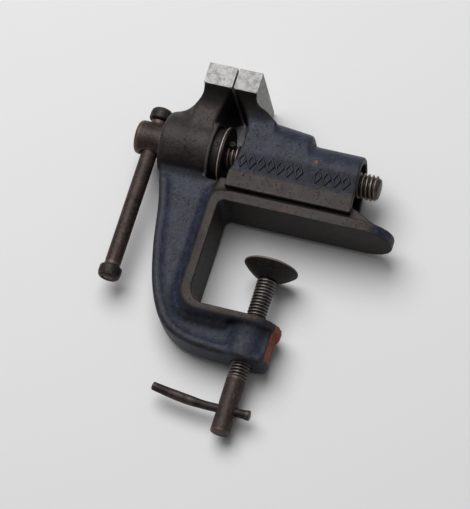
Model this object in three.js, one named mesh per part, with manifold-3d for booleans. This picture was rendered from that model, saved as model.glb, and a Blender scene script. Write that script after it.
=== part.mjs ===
// Small clamp-on bench vise: a C-frame casting with the front jaw, a hollow rear jaw that slides on its rail,
// the main screw with its sliding handle, and the table clamp screw with its swivel pad.
// Millimetres, +Z up. Origin: underside of the table plate, on the clamp screw's axis, in the plane of
// symmetry. +X runs along the main screw from the handle to the rear.

import * as THREE from 'three';
import { mergeVertices } from 'three/addons/utils/BufferGeometryUtils.js';
import Module from 'manifold-3d';

const wasm = await Module();
wasm.setup();

// ---------- driving dimensions ----------

// Jaws
const JAW_WIDTH = 44.45;
const JAW_TOP = 65;
const JAW_DEPTH = 11;                 // height of the ground band at the top of each jaw
const JAW_FACE_X = -40.3;             // gripping face of the front jaw
const JAW_OPENING = 1;                // gap between the jaws at rest
const FRONT_JAW_THICKNESS = 14.2;
const REAR_JAW_THICKNESS = 11.8;
const REAR_JAW_FILLET = 3.6;          // where the rear jaw's back runs out on the hump
const NECK_FLARE = 10.5;              // height over which a neck widens into its jaw
const NECK_NOSE_WIDTH = 11;           // of the front neck where it runs out on top of the boss

// Main screw and what sits on it
const SCREW_AXIS_Z = 28;
const SCREW_DIAMETER = 12.7;
const SCREW_END_X = 39.4;
const HEAD_DIAMETER = 16.8;
const HEAD_LENGTH = 14;
const HEAD_ROUND = 2.4;
const BAR_TO_BOSS = 6.1;              // handle bar axis in front of the boss
const COLLAR_DIAMETER = 25.2;
const COLLAR_PROUD = 3.6;             // how far the collar stands out of the boss
const WASHER_DIAMETER = 28;
const WASHER_THICKNESS = 2;
const COLLAR_PIN_DIAMETER = 3;
const WASHER_PIN_DIAMETER = 3.4;
const WASHER_PIN_LENGTH = 17.2;
const WASHER_PIN_TILT = 26;           // degrees, the pin's near end points up by this

// Boss
const BOSS_DIAMETER = 32;
const BOSS_FRONT_X = -69.5;
const BOSS_REAR_X = -43;
const BOSS_FRONT_ROUND = 2.5;
const BOSS_REAR_ROUND = 1.8;
const CAVITY_DEPTH = 6.3;

// Rail, table plate and slide
const PLATE_THICKNESS = 5.2;
const PLATE_WIDTH = 28.2;
const PLATE_TIP_X = 53.4;
const PLATE_STRAIGHT_END_X = 39;
const RAIL_WIDTH = 20;
const RAIL_HEIGHT = 8;                // above the table plate
const RAIL_FRONT_X = -36;
const RAIL_SLOPE_START_X = 29;
const RAIL_SLOPE_END_X = 46.5;
const SLIDE_WALL = 3.7;
const SLIDE_LIFT = 2.4;               // gap between the slide's edges and the table plate
const SLIDE_FRONT_X = -31.4;
const SLIDE_NECK_STEP = 2.4;          // how far the slide's neck stands behind its lower front corner
const SLIDE_REAR_X = 31.5;
const SLIDE_REAR_LEAN = 2.1;
const STRIP_HEIGHT = 8.7;             // machined strip along the slide's lower edge
const STRIP_PROUD = 0.4;
const HUMP_RISE = 8.2;                // of the hump behind the rear jaw above the slide's round roof
const HUMP_END_X = 3.6;
const HUMP_SLOPE = 6;                 // degrees
const NUT_LENGTH = 20;
const NUT_REAR_X = 0;
const NUT_PIN_DIAMETER = 4.8;

// Column, throat and lower arm
const THROAT_FACE_X = -31.5;
const THROAT_HEIGHT = 53;
const THROAT_TOP_FILLET = 3;
const THROAT_HEEL_FILLET = 8.5;
const FLANGE_THICKNESS = 5.2;
const ARM_FLANGE_THICKNESS = 4;
const ARM_HEIGHT = 21.2;
const BEAD_WIDTH = 18;                // of the rounded bead along the outer edge of the web
const BEAD_HEIGHT = 5.4;
const BEAD_ROUND = 2.2;
const WEB_WIDTH = 14.6;
const ARM_BOSS_DIAMETER = 22.5;
const ARM_FOOT_WIDTH = 22;
const ARM_FOOT_REACH = 13.4;          // past the clamp screw's axis
const ARM_FOOT_THICKNESS = 4.2;

// Handle
const HANDLE_BAR_DIAMETER = 7.9;
const HANDLE_TOP_Z = 44.2;
const HANDLE_BOTTOM_Z = -47.2;
const KNOB_DIAMETER = 11.2;
const KNOB_LENGTH = 6.2;

// Table clamp
const CLAMP_SCREW_DIAMETER = 9.52;
const CLAMP_SCREW_HANG = 35.3;        // the screw's end below the arm
const CLAMP_TIP_DIAMETER = 6;
const CLAMP_HEAD_DIAMETER = 10;
const PAD_DROP = 22.8;                // the pad's face below the table plate
const PAD_DIAMETER = 26.6;
const PAD_HEIGHT = 7.2;
const PAD_RIM = 1.3;
const PAD_RECESS_DEPTH = 1.8;
const CLAMP_BAR_DIAMETER = 4.2;
const CLAMP_BAR_ABOVE_END = 11.9;
const CLAMP_BAR_RIGHT_X = 11.5;
const CLAMP_BAR_LEFT_X = -37.8;
const CLAMP_BAR_BEND_X = -9;          // the bar is straight from its right end to here
const CLAMP_BAR_RISE = 3.4;
const CLAMP_BAR_END_DIAMETER = 5;

// Clearances
const FACE_GAP = 0.3;                 // between faces that meet
const SCREW_CLEARANCE = 0.35;         // on radius, screws and pins in their holes
const BAR_CLEARANCE = 0.4;            // on radius, bars in their cross holes
const RAIL_CLEARANCE = 0.4;           // each side of the rail

// ---------- worked out from the driving dimensions ----------

const screwRadius = SCREW_DIAMETER / 2;
const headRadius = HEAD_DIAMETER / 2;
const bossRadius = BOSS_DIAMETER / 2;
const plateHalf = PLATE_WIDTH / 2;
const railHalf = RAIL_WIDTH / 2;
const railTop = PLATE_THICKNESS + RAIL_HEIGHT;
const neckFrontX = SLIDE_FRONT_X + SLIDE_NECK_STEP;
const hollowHalf = railHalf + RAIL_CLEARANCE;
const slideHalf = hollowHalf + SLIDE_WALL;
const slideBottom = PLATE_THICKNESS + SLIDE_LIFT;
const slideTop = SCREW_AXIS_Z + slideHalf;
const jawUnderside = JAW_TOP - JAW_DEPTH;
const rearFaceX = JAW_FACE_X + JAW_OPENING;
const collarFrontX = BOSS_REAR_X - CAVITY_DEPTH + FACE_GAP;
const collarRearX = BOSS_REAR_X + COLLAR_PROUD;
const collarPinX = BOSS_REAR_X + FACE_GAP + COLLAR_PIN_DIAMETER / 2;
const washerFrontX = collarRearX + FACE_GAP;
const washerRearX = washerFrontX + WASHER_THICKNESS;
const washerPinX = washerRearX + FACE_GAP + WASHER_PIN_DIAMETER / 2;
const headRearX = BOSS_FRONT_X - FACE_GAP;
const barX = BOSS_FRONT_X - BAR_TO_BOSS;
const armTop = -THROAT_HEIGHT;
const armBottom = armTop - ARM_HEIGHT;
const clampRadius = CLAMP_SCREW_DIAMETER / 2;
const padTop = -PAD_DROP;
const clampEnd = armBottom - CLAMP_SCREW_HANG;
const clampBarZ = clampEnd + CLAMP_BAR_ABOVE_END;

// ---------- helpers ----------

const ROUND_STEPS = 48;
const SMALL_STEPS = 24;

// A shape through [a, b] points.
function outline(points) {
  return new THREE.Shape(points.map(([a, b]) => new THREE.Vector2(a, b)));
}

// Points of an arc about (a, b), angles in degrees.
function arc(a, b, radius, from, to, steps = 8) {
  return Array.from({ length: steps + 1 }, (_, i) => {
    const angle = THREE.MathUtils.degToRad(from + (to - from) * i / steps);
    return [a + radius * Math.cos(angle), b + radius * Math.sin(angle)];
  });
}

// Points of a bend from one point to another, pulled towards a corner.
function bend(from, corner, to, steps = 8) {
  const [start, middle, end] = [from, corner, to].map(([a, b]) => new THREE.Vector2(a, b));
  return new THREE.QuadraticBezierCurve(start, middle, end).getPoints(steps).map((p) => [p.x, p.y]);
}

function extrude(shape, depth, edge = 0) {
  const bevel = { bevelThickness: edge, bevelSize: edge, bevelOffset: -edge, bevelSegments: 4 };
  const geometry = new THREE.ExtrudeGeometry(shape, {
    depth: depth - 2 * edge, bevelEnabled: edge > 0, ...bevel,
  });
  return geometry.translate(0, 0, edge);
}

// X-Z outline, thick along Y and centred on the plane of symmetry (or spanning from yLow to yHigh).
function side(points, halfWidth, edge = 0) {
  return sideSpan(points, -halfWidth, halfWidth, edge);
}

function sideSpan(points, yLow, yHigh, edge = 0) {
  const geometry = extrude(outline(points), yHigh - yLow, edge);
  return geometry.rotateX(Math.PI / 2).translate(0, yHigh, 0);
}

// Y-Z outline, running along X from xLow to xHigh.
function end(points, xLow, xHigh) {
  const basis = new THREE.Matrix4().makeBasis(
    new THREE.Vector3(0, 1, 0), new THREE.Vector3(0, 0, 1), new THREE.Vector3(1, 0, 0));
  return extrude(outline(points), xHigh - xLow).applyMatrix4(basis).translate(xLow, 0, 0);
}

// X-Y outline, standing from zLow to zHigh.
function plan(points, zLow, zHigh, edge = 0) {
  return extrude(outline(points), zHigh - zLow, edge).translate(0, 0, zLow);
}

// Solid of revolution from [radius, height] points, about the X axis or about the vertical.
function turnedX(profile, steps = ROUND_STEPS) {
  return turned(profile, steps).rotateZ(-Math.PI / 2);
}

function aboutScrewAxis(profile) {
  return turnedX(profile).translate(0, 0, SCREW_AXIS_Z);
}

function turnedZ(profile, steps = SMALL_STEPS) {
  return turned(profile, steps).rotateX(Math.PI / 2);
}

function turned(profile, steps) {
  return new THREE.LatheGeometry(profile.map(([r, h]) => new THREE.Vector2(r, h)), steps);
}

function cylinder(radius, from, to, steps = SMALL_STEPS) {
  return [[0, from], [radius, from], [radius, to], [0, to]];
}

// A ring's profile closes on itself.
function ring(inner, outer, from, to) {
  return [[inner, from], [outer, from], [outer, to], [inner, to], [inner, from]];
}

// Mirror an outline given for positive Y.
function bothSides(points) {
  return [...points, ...points.map(([y, z]) => [-y, z]).reverse()];
}

function signedVolume(geometry) {
  const { position } = geometry.attributes;
  const [a, b, c] = [new THREE.Vector3(), new THREE.Vector3(), new THREE.Vector3()];
  let volume = 0;
  for (let i = 0; i < geometry.index.count; i += 3) {
    a.fromBufferAttribute(position, geometry.index.getX(i));
    b.fromBufferAttribute(position, geometry.index.getX(i + 1));
    c.fromBufferAttribute(position, geometry.index.getX(i + 2));
    volume += a.dot(b.cross(c)) / 6;
  }
  return volume;
}

function solid(geometry) {
  geometry.deleteAttribute('normal');
  geometry.deleteAttribute('uv');
  const merged = mergeVertices(geometry, 1e-4);
  const corners = [];
  const flip = signedVolume(merged) < 0;
  for (let i = 0; i < merged.index.count; i += 3) {
    const [a, b, c] = [0, 1, 2].map((k) => merged.index.getX(i + k));
    if (a !== b && b !== c && c !== a) corners.push(...(flip ? [a, c, b] : [a, b, c]));
  }
  return new wasm.Manifold(new wasm.Mesh({
    numProp: 3,
    vertProperties: new Float32Array(merged.attributes.position.array),
    triVerts: new Uint32Array(corners),
  }));
}

function join(...geometries) {
  return geometries.map((g) => (g instanceof THREE.BufferGeometry ? solid(g) : g))
    .reduce((total, next) => total.add(next));
}

function cut(body, ...tools) {
  return tools.map((g) => (g instanceof THREE.BufferGeometry ? solid(g) : g))
    .reduce((total, next) => total.subtract(next), body);
}

function common(first, second) {
  return solid(first).intersect(solid(second));
}

function geometryOf(body) {
  const mesh = body.getMesh();
  const geometry = new THREE.BufferGeometry();
  geometry.setAttribute('position', new THREE.BufferAttribute(new Float32Array(mesh.vertProperties), 3));
  geometry.setIndex(new THREE.BufferAttribute(new Uint32Array(mesh.triVerts), 1));
  geometry.computeVertexNormals();
  return geometry;
}

// ---------- materials ----------

function finish(color, roughness, metalness) {
  return new THREE.MeshStandardMaterial({ color, roughness, metalness });
}

const paintedIron = finish(0x34363f, 0.5, 0.2);
const wornSteel = finish(0x4a3d38, 0.5, 0.7);
const threadSteel = finish(0x5b5852, 0.45, 0.8);
const brightSteel = finish(0x9a968f, 0.35, 0.9);

// ---------- outlines shared by the castings ----------

// A slide or hollow seen from its end: straight sides and a round roof about the screw's axis, raised by
// `lift`.
function arch(halfWidth, bottom, lift = 0) {
  const roof = arc(0, SCREW_AXIS_Z + lift, halfWidth, 0, 180, 20);
  return [[halfWidth, bottom], ...roof, [-halfWidth, bottom]];
}

// Jaw and neck seen from the end: a full-width ground band that narrows to the casting below it.
function jawEnd(neckHalf, bottom) {
  const half = JAW_WIDTH / 2;
  const waist = jawUnderside - NECK_FLARE;
  const flare = bend([half, jawUnderside], [neckHalf + 1.5, jawUnderside - 3], [neckHalf, waist]);
  return bothSides([[half, JAW_TOP], ...flare, [neckHalf, bottom]]);
}

// ---------- frame casting ----------

// Inner line of the throat, from the table plate round the column to the arm; `grow` moves it into the metal.
function throatLine(grow, armGrow, fromX, toX) {
  const x = THROAT_FACE_X - grow;
  const topFillet = THROAT_TOP_FILLET + grow / 2;
  const heelFillet = THROAT_HEEL_FILLET + grow / 2;
  return [
    [fromX, grow],
    ...arc(x + topFillet, grow - topFillet, topFillet, 90, 180, 6),
    ...arc(x + heelFillet, armTop - armGrow + heelFillet, heelFillet, 180, 270, 8),
    [toX, armTop - armGrow],
  ];
}

// Outer line of the column and the arm's underside, from the boss down and round to the arm's end, moved
// `inset` into the metal.
function outerLine(inset) {
  const x = THROAT_FACE_X;
  const curve = new THREE.SplineCurve([
    [x - 34.2, 8],
    [x - 30, -7],
    [x - 25.9, armTop * 0.54],
    [x - 19.6, armTop + 3.5],
    [x - 10, armTop - 12.2],
    [x + 4.5, armBottom + 2],
    [-6, armBottom + 0.3],
  ].map(([a, b]) => new THREE.Vector2(a, b)));
  const steps = 24;
  return Array.from({ length: steps + 1 }, (_, i) => {
    const at = curve.getPoint(i / steps);
    const along = curve.getTangent(i / steps);
    return [at.x - along.y * inset, at.y + along.x * inset];
  });
}

function frameCasting() {
  const bossProfile = [
    [0, BOSS_FRONT_X],
    ...arc(bossRadius - BOSS_FRONT_ROUND, BOSS_FRONT_X + BOSS_FRONT_ROUND, BOSS_FRONT_ROUND, -90, 0, 4),
    ...arc(bossRadius - BOSS_REAR_ROUND, BOSS_REAR_X - BOSS_REAR_ROUND, BOSS_REAR_ROUND, 0, 90, 4),
    [0, BOSS_REAR_X],
  ];
  const boss = aboutScrewAxis(bossProfile);

  const jawFront = JAW_FACE_X - FRONT_JAW_THICKNESS;
  const jawSide = side([
    [JAW_FACE_X, JAW_TOP],
    [jawFront, JAW_TOP],
    ...bend([jawFront, jawUnderside], [jawFront, SCREW_AXIS_Z + bossRadius + 1],
      [BOSS_FRONT_X + 3.5, SCREW_AXIS_Z + bossRadius - 0.6]),
    [BOSS_FRONT_X + 6, SCREW_AXIS_Z],
    [BOSS_REAR_X - BOSS_REAR_ROUND, SCREW_AXIS_Z],
    ...bend([BOSS_REAR_X - BOSS_REAR_ROUND, SCREW_AXIS_Z + bossRadius - 4],
      [JAW_FACE_X - 3, jawUnderside - 4], [JAW_FACE_X, jawUnderside]),
  ], JAW_WIDTH / 2);
  const half = JAW_WIDTH / 2;
  const noseHalf = NECK_NOSE_WIDTH / 2;
  const neckPlan = bothSides([
    [half, JAW_FACE_X],
    [half, jawFront],
    ...bend([half - 3, jawFront - 0.4], [noseHalf * 2, jawFront - 2.5], [noseHalf, BOSS_FRONT_X + 2]),
  ]).map(([y, x]) => [x, y]);
  const jawPlan = plan(neckPlan, SCREW_AXIS_Z - 2, JAW_TOP);
  const jawBlock = solid(jawSide).intersect(solid(jawPlan));
  const neckEnd = end(jawEnd(bossRadius - 1.5, SCREW_AXIS_Z - 2), BOSS_FRONT_X, JAW_FACE_X);
  const jaw = jawBlock.intersect(solid(neckEnd));

  const columnTop = [[BOSS_REAR_X - 2, SCREW_AXIS_Z - 6], [BOSS_FRONT_X + 8, SCREW_AXIS_Z - 6],
    [BOSS_FRONT_X + 2, SCREW_AXIS_Z - bossRadius + 2.5]];
  const inner = throatLine(1, 1, THROAT_FACE_X + 10, ARM_BOSS_DIAMETER / 2);
  const armCorner = [ARM_BOSS_DIAMETER / 2, armBottom];
  const columnShape = [...inner.slice(1), armCorner, ...outerLine(0).reverse(), ...columnTop.reverse(),
    [BOSS_REAR_X - 2, railTop - 1], [THROAT_FACE_X + 6, railTop - 1], [THROAT_FACE_X + 6, 1]];
  const column = side(columnShape, WEB_WIDTH / 2);
  const beadShape = [...outerLine(0), armCorner, [ARM_BOSS_DIAMETER / 2, armBottom + BEAD_HEIGHT],
    ...outerLine(BEAD_HEIGHT).reverse()];
  const bead = side(beadShape, BEAD_WIDTH / 2, BEAD_ROUND);

  const flangeShape = [...throatLine(0, 0, 0, 0),
    ...throatLine(FLANGE_THICKNESS, ARM_FLANGE_THICKNESS, 0, 0).reverse()];
  const flange = side(flangeShape, plateHalf);

  // Concave blend between the flange's edge and the web.
  const blendSteps = 3;
  const blends = Array.from({ length: blendSteps }, (_, i) => {
    const reach = 4.2 * (i + 1) ** 2 / blendSteps ** 2;
    const halfWidth = plateHalf - (plateHalf - WEB_WIDTH / 2) * (i + 1) / (blendSteps + 1);
    return side([...throatLine(1, 1, -10, -10),
      ...throatLine(FLANGE_THICKNESS + reach, ARM_FLANGE_THICKNESS + reach, -10, -10).reverse()], halfWidth);
  });

  const straightNose = PLATE_TIP_X - PLATE_STRAIGHT_END_X;
  const nose = Array.from({ length: 17 }, (_, i) => {
    const angle = Math.PI / 2 - Math.PI * i / 16;
    return [PLATE_STRAIGHT_END_X + straightNose * Math.cos(angle), plateHalf * Math.sin(angle)];
  });
  const plate = plan([[-10, -plateHalf], [-10, plateHalf], ...nose], 0, PLATE_THICKNESS);

  const rail = side([[RAIL_FRONT_X, 2], [RAIL_SLOPE_END_X, 2], [RAIL_SLOPE_END_X, PLATE_THICKNESS],
    [RAIL_SLOPE_START_X, railTop], [RAIL_FRONT_X, railTop]], railHalf);

  const armEnd = arc(0, 0, plateHalf, 90, -90, 16);
  const armFlange = plan([[-8, -plateHalf], [-8, plateHalf], ...armEnd],
    armTop - ARM_FLANGE_THICKNESS, armTop);
  const footHalf = ARM_FOOT_WIDTH / 2;
  const footEnd = arc(0, 0, 1, 90, -90, 16).map(([x, y]) => [x * ARM_FOOT_REACH, y * footHalf]);
  const foot = plan([[-6, -BEAD_WIDTH / 2 + BEAD_ROUND], [-6, BEAD_WIDTH / 2 - BEAD_ROUND], ...footEnd],
    armBottom, armBottom + ARM_FOOT_THICKNESS, ARM_FOOT_THICKNESS / 3);
  const armBoss = turnedZ([[0, armBottom + 0.5], [ARM_BOSS_DIAMETER / 2, armBottom + 0.5],
    [ARM_BOSS_DIAMETER / 2, armTop - 1], [0, armTop - 1]], ROUND_STEPS);
  const gateHalf = 6.5;
  const gateX = ARM_BOSS_DIAMETER / 2 + 0.5;
  const gate = plan([[0, -gateHalf], [gateX, -gateHalf], [gateX, gateHalf], [0, gateHalf]],
    armBottom + 3, armTop - 2);
  const lipX = plateHalf - 0.5;
  const lip = plan([[4, -5], [lipX, -5], [lipX, 5], [4, 5]], armTop - 5.4, armTop);

  const arm = [armFlange, foot, armBoss, gate, lip];
  const casting = join(boss, jaw, column, bead, flange, ...blends, plate, rail, ...arm);

  const bore = aboutScrewAxis(cylinder(screwRadius + SCREW_CLEARANCE, BOSS_FRONT_X - 1, BOSS_REAR_X + 1));
  const cavity = aboutScrewAxis(cylinder(COLLAR_DIAMETER / 2 + BAR_CLEARANCE, BOSS_REAR_X - CAVITY_DEPTH,
    BOSS_REAR_X + 1));
  const clampBore = turnedZ(cylinder(clampRadius + SCREW_CLEARANCE, armBottom - 1, armTop + 1));
  return cut(casting, bore, cavity, clampBore);
}

// ---------- sliding jaw ----------

function slidingJaw() {
  const bodySide = side([
    [SLIDE_FRONT_X, slideBottom],
    [SLIDE_REAR_X, slideBottom],
    [SLIDE_REAR_X - SLIDE_REAR_LEAN, slideTop + 1],
    [neckFrontX, slideTop + 1],
    ...bend([neckFrontX, SCREW_AXIS_Z + 5], [neckFrontX, slideBottom + STRIP_HEIGHT + 8],
      [SLIDE_FRONT_X, slideBottom + STRIP_HEIGHT]),
  ], slideHalf);
  const stripTop = slideBottom + STRIP_HEIGHT;
  const panelHalf = slideHalf - STRIP_PROUD;
  const bodyEnd = end([[slideHalf, slideBottom], [slideHalf, stripTop], [panelHalf, stripTop],
    ...arc(0, SCREW_AXIS_Z, panelHalf, 0, 180, 24), [-panelHalf, stripTop], [-slideHalf, stripTop],
    [-slideHalf, slideBottom]], SLIDE_FRONT_X - 1, SLIDE_REAR_X + 1);
  const body = common(bodySide, bodyEnd);

  const jawRear = rearFaceX + REAR_JAW_THICKNESS;
  const humpTop = slideTop + HUMP_RISE;
  const humpSide = side([
    [neckFrontX, SCREW_AXIS_Z],
    [HUMP_END_X, SCREW_AXIS_Z],
    ...bend([HUMP_END_X, slideTop - 1], [HUMP_END_X - 0.5, humpTop - 2], [HUMP_END_X - 9, humpTop + 1]),
    [neckFrontX, humpTop + 1],
  ], slideHalf);
  const humpEnd = end(arch(panelHalf, SCREW_AXIS_Z - 12, HUMP_RISE), -40, 40)
    .translate(neckFrontX * -1, 0, 0)
    .rotateY(THREE.MathUtils.degToRad(HUMP_SLOPE))
    .translate(neckFrontX, 0, 0);
  const hump = common(humpSide, humpEnd);

  const jawSide = side([
    [rearFaceX, JAW_TOP],
    [rearFaceX, jawUnderside],
    ...bend([rearFaceX, jawUnderside], [neckFrontX - 2, jawUnderside - 5], [neckFrontX, slideTop - 4]),
    [neckFrontX, SCREW_AXIS_Z + 6],
    [jawRear + 12, SCREW_AXIS_Z + 6],
    [jawRear + 12, humpTop - 5],
    ...bend([jawRear + REAR_JAW_FILLET * 1.4, humpTop - 0.6], [jawRear + 0.4, humpTop],
      [jawRear, humpTop + REAR_JAW_FILLET * 0.8]),
    [jawRear, JAW_TOP],
  ], JAW_WIDTH / 2);
  const jaw = common(jawSide, end(jawEnd(panelHalf, SCREW_AXIS_Z), rearFaceX, jawRear + 12));

  const hollow = end(arch(hollowHalf, slideBottom - 2), SLIDE_FRONT_X - 2, SLIDE_REAR_X + 2);
  const pinHole = turnedZ(cylinder(NUT_PIN_DIAMETER / 2 + SCREW_CLEARANCE, SCREW_AXIS_Z, humpTop + 5))
    .translate(nutPinX(), 0, 0);
  return cut(join(body, hump, jaw), hollow, pinHole);
}

function nutPinX() {
  return NUT_REAR_X - NUT_LENGTH / 2;
}

const nutPinBottom = SCREW_AXIS_Z + screwRadius + SCREW_CLEARANCE + 1;

function mainNut() {
  const nutHalf = hollowHalf - FACE_GAP;
  const block = end(arch(nutHalf, railTop + FACE_GAP), NUT_REAR_X - NUT_LENGTH, NUT_REAR_X);
  const bore = aboutScrewAxis(cylinder(screwRadius + SCREW_CLEARANCE, NUT_REAR_X - NUT_LENGTH - 1,
    NUT_REAR_X + 1));
  const pinHole = turnedZ(cylinder(NUT_PIN_DIAMETER / 2 + SCREW_CLEARANCE, nutPinBottom - FACE_GAP,
    slideTop)).translate(nutPinX(), 0, 0);
  return cut(join(block), bore, pinHole);
}

function nutPin() {
  const top = slideTop + HUMP_RISE - 2.4;
  return join(turnedZ([[0, nutPinBottom], [NUT_PIN_DIAMETER / 2, nutPinBottom], [NUT_PIN_DIAMETER / 2, top],
    [NUT_PIN_DIAMETER / 2 - 0.8, top + 0.5], [0, top + 0.6]])).translate([nutPinX(), 0, 0]);
}

// ---------- main screw group ----------

function crossPin(diameter, length, x, tilt = 0) {
  return new THREE.CylinderGeometry(diameter / 2, diameter / 2, length, SMALL_STEPS)
    .rotateX(-THREE.MathUtils.degToRad(tilt))
    .translate(x, 0, 0);
}

const pinHoleLength = WASHER_DIAMETER + 4;
const collarPinHole = () => crossPin(COLLAR_PIN_DIAMETER + 2 * FACE_GAP, pinHoleLength, collarPinX);
const washerPinHole = () => crossPin(WASHER_PIN_DIAMETER + 2 * FACE_GAP, pinHoleLength, washerPinX,
  WASHER_PIN_TILT);

function mainScrew() {
  const headFrontX = headRearX - HEAD_LENGTH;
  const chamfer = 1.9;
  const screw = turnedX([
    [0, headFrontX],
    ...arc(headRadius - HEAD_ROUND, headFrontX + HEAD_ROUND, HEAD_ROUND, -90, 0, 5),
    [headRadius, headRearX - 0.6],
    [headRadius - 0.6, headRearX],
    [screwRadius, headRearX],
    [screwRadius, SCREW_END_X - chamfer],
    [screwRadius - chamfer, SCREW_END_X],
    [0, SCREW_END_X],
  ]);
  const handleHole = turnedZ(cylinder(HANDLE_BAR_DIAMETER / 2 + BAR_CLEARANCE, -HEAD_DIAMETER, HEAD_DIAMETER))
    .translate(barX, 0, 0);
  return cut(join(screw), handleHole, collarPinHole(), washerPinHole());
}

function thrustCollar() {
  const collar = turnedX(ring(screwRadius + SCREW_CLEARANCE, COLLAR_DIAMETER / 2, collarFrontX, collarRearX));
  return cut(join(collar), collarPinHole());
}

function retainingWasher() {
  return join(turnedX(ring(screwRadius + SCREW_CLEARANCE, WASHER_DIAMETER / 2, washerFrontX, washerRearX)));
}

// ---------- handle ----------

const spigotRadius = HANDLE_BAR_DIAMETER / 2 - 1.4;
const upperKnobZ = HANDLE_TOP_Z - KNOB_LENGTH;
const lowerKnobZ = HANDLE_BOTTOM_Z + KNOB_LENGTH;

function handleBar() {
  const radius = HANDLE_BAR_DIAMETER / 2;
  return join(turnedZ([
    [0, HANDLE_BOTTOM_Z], [spigotRadius, HANDLE_BOTTOM_Z], [spigotRadius, lowerKnobZ + FACE_GAP],
    [radius, lowerKnobZ + FACE_GAP], [radius, upperKnobZ - FACE_GAP], [spigotRadius, upperKnobZ - FACE_GAP],
    [spigotRadius, HANDLE_TOP_Z], [0, HANDLE_TOP_Z],
  ]));
}

// Made from its inner face outwards; the outer rim is rounded.
function knob(direction) {
  const radius = KNOB_DIAMETER / 2;
  const bore = spigotRadius + FACE_GAP;
  const profile = [[bore, 0], [radius - 0.4, 0], [radius, 0.5], [radius, KNOB_LENGTH - 1.6],
    [radius - 0.6, KNOB_LENGTH - 0.5], [radius - 1.6, KNOB_LENGTH], [bore, KNOB_LENGTH], [bore, 0]];
  return join(turnedZ(profile.map(([r, h]) => [r, direction * h])));
}

// ---------- table clamp ----------

const padBottom = padTop - PAD_HEIGHT;
const recessFloor = padTop - PAD_RECESS_DEPTH;
const tipRadius = CLAMP_TIP_DIAMETER / 2;

function clampScrew() {
  const shoulder = padBottom - FACE_GAP;
  const headRadiusTop = CLAMP_HEAD_DIAMETER / 2;
  const screw = turnedZ([
    [0, clampEnd], [clampRadius - 0.8, clampEnd],
    [clampRadius, clampEnd + 0.8], [clampRadius, shoulder], [tipRadius, shoulder],
    [tipRadius, recessFloor + FACE_GAP], [headRadiusTop, recessFloor + FACE_GAP],
    [headRadiusTop - 0.7, padTop - 0.5], [0, padTop - FACE_GAP],
  ]);
  const hole = new THREE.CylinderGeometry(CLAMP_BAR_DIAMETER / 2 + BAR_CLEARANCE,
    CLAMP_BAR_DIAMETER / 2 + BAR_CLEARANCE, CLAMP_SCREW_DIAMETER * 2, SMALL_STEPS)
    .rotateZ(Math.PI / 2).translate(0, 0, clampBarZ);
  return cut(join(screw), hole);
}

function clampPad() {
  const radius = PAD_DIAMETER / 2;
  const bore = tipRadius + FACE_GAP;
  const recess = CLAMP_HEAD_DIAMETER / 2 + 2 * FACE_GAP;
  return join(turnedZ([
    [bore, padBottom], [clampRadius + 0.3, padBottom], [clampRadius + 1.6, padBottom + 0.7],
    [radius * 0.64, padBottom + 2.1], [radius * 0.84, padBottom + 4.1],
    [radius - 0.7, padTop - PAD_RIM - 0.5],
    [radius, padTop - PAD_RIM], [radius, padTop - 0.4], [radius - 0.4, padTop],
    [recess, padTop], [recess, recessFloor], [bore, recessFloor], [bore, padBottom],
  ], ROUND_STEPS));
}

function clampBar() {
  const radius = CLAMP_BAR_DIAMETER / 2;
  const bent = CLAMP_BAR_BEND_X - CLAMP_BAR_LEFT_X;
  const points = [new THREE.Vector3(CLAMP_BAR_RIGHT_X, 0, clampBarZ)];
  for (let i = 0; i <= 6; i += 1) {
    const along = i / 6;
    points.push(new THREE.Vector3(CLAMP_BAR_BEND_X - bent * along, 0,
      clampBarZ + CLAMP_BAR_RISE * along ** 1.6));
  }
  const path = new THREE.CatmullRomCurve3(points);
  const section = new THREE.Shape().absarc(0, 0, radius, 0, 2 * Math.PI);
  const rod = new THREE.ExtrudeGeometry(section, { steps: 26, extrudePath: path, curveSegments: 8 });
  const flare = new THREE.LatheGeometry([[0, -4], [radius * 0.9, -4], [CLAMP_BAR_END_DIAMETER / 2, -0.8],
    [CLAMP_BAR_END_DIAMETER / 2 - 0.3, 0], [0, 0]].map(([r, h]) => new THREE.Vector2(r, h)), SMALL_STEPS)
    .rotateZ(-Math.PI / 2).translate(CLAMP_BAR_RIGHT_X, 0, clampBarZ);
  return join(rod, flare);
}

// ---------- assembly ----------

function piece(name, body, material) {
  const mesh = new THREE.Mesh(geometryOf(body), material);
  mesh.name = name;
  return mesh;
}

const vise = new THREE.Group();
vise.add(
  piece('frame_casting', frameCasting(), paintedIron),
  piece('sliding_jaw', slidingJaw(), paintedIron),
  piece('main_nut', mainNut(), wornSteel),
  piece('nut_pin', nutPin(), wornSteel),
  piece('clamp_screw', clampScrew(), threadSteel),
  piece('clamp_pad', clampPad(), wornSteel),
  piece('clamp_bar', clampBar(), wornSteel),
);

const washerPin = crossPin(WASHER_PIN_DIAMETER, WASHER_PIN_LENGTH, washerPinX, WASHER_PIN_TILT);
const screwGroup = new THREE.Group();
screwGroup.position.z = SCREW_AXIS_Z;
screwGroup.add(
  piece('main_screw', mainScrew(), wornSteel),
  piece('thrust_collar', thrustCollar(), wornSteel),
  piece('collar_pin', join(crossPin(COLLAR_PIN_DIAMETER, COLLAR_DIAMETER + 0.6, collarPinX)), brightSteel),
  piece('retaining_washer', retainingWasher(), brightSteel),
  piece('washer_pin', join(washerPin), brightSteel),
);
vise.add(screwGroup);

const upperKnob = piece('handle_knob_upper', knob(1), wornSteel);
upperKnob.position.z = upperKnobZ;
const lowerKnob = piece('handle_knob_lower', knob(-1), wornSteel);
lowerKnob.position.z = lowerKnobZ;
const handleGroup = new THREE.Group();
handleGroup.position.x = barX;
handleGroup.add(piece('handle_bar', handleBar(), wornSteel), upperKnob, lowerKnob);
vise.add(handleGroup);

export default vise;
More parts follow.
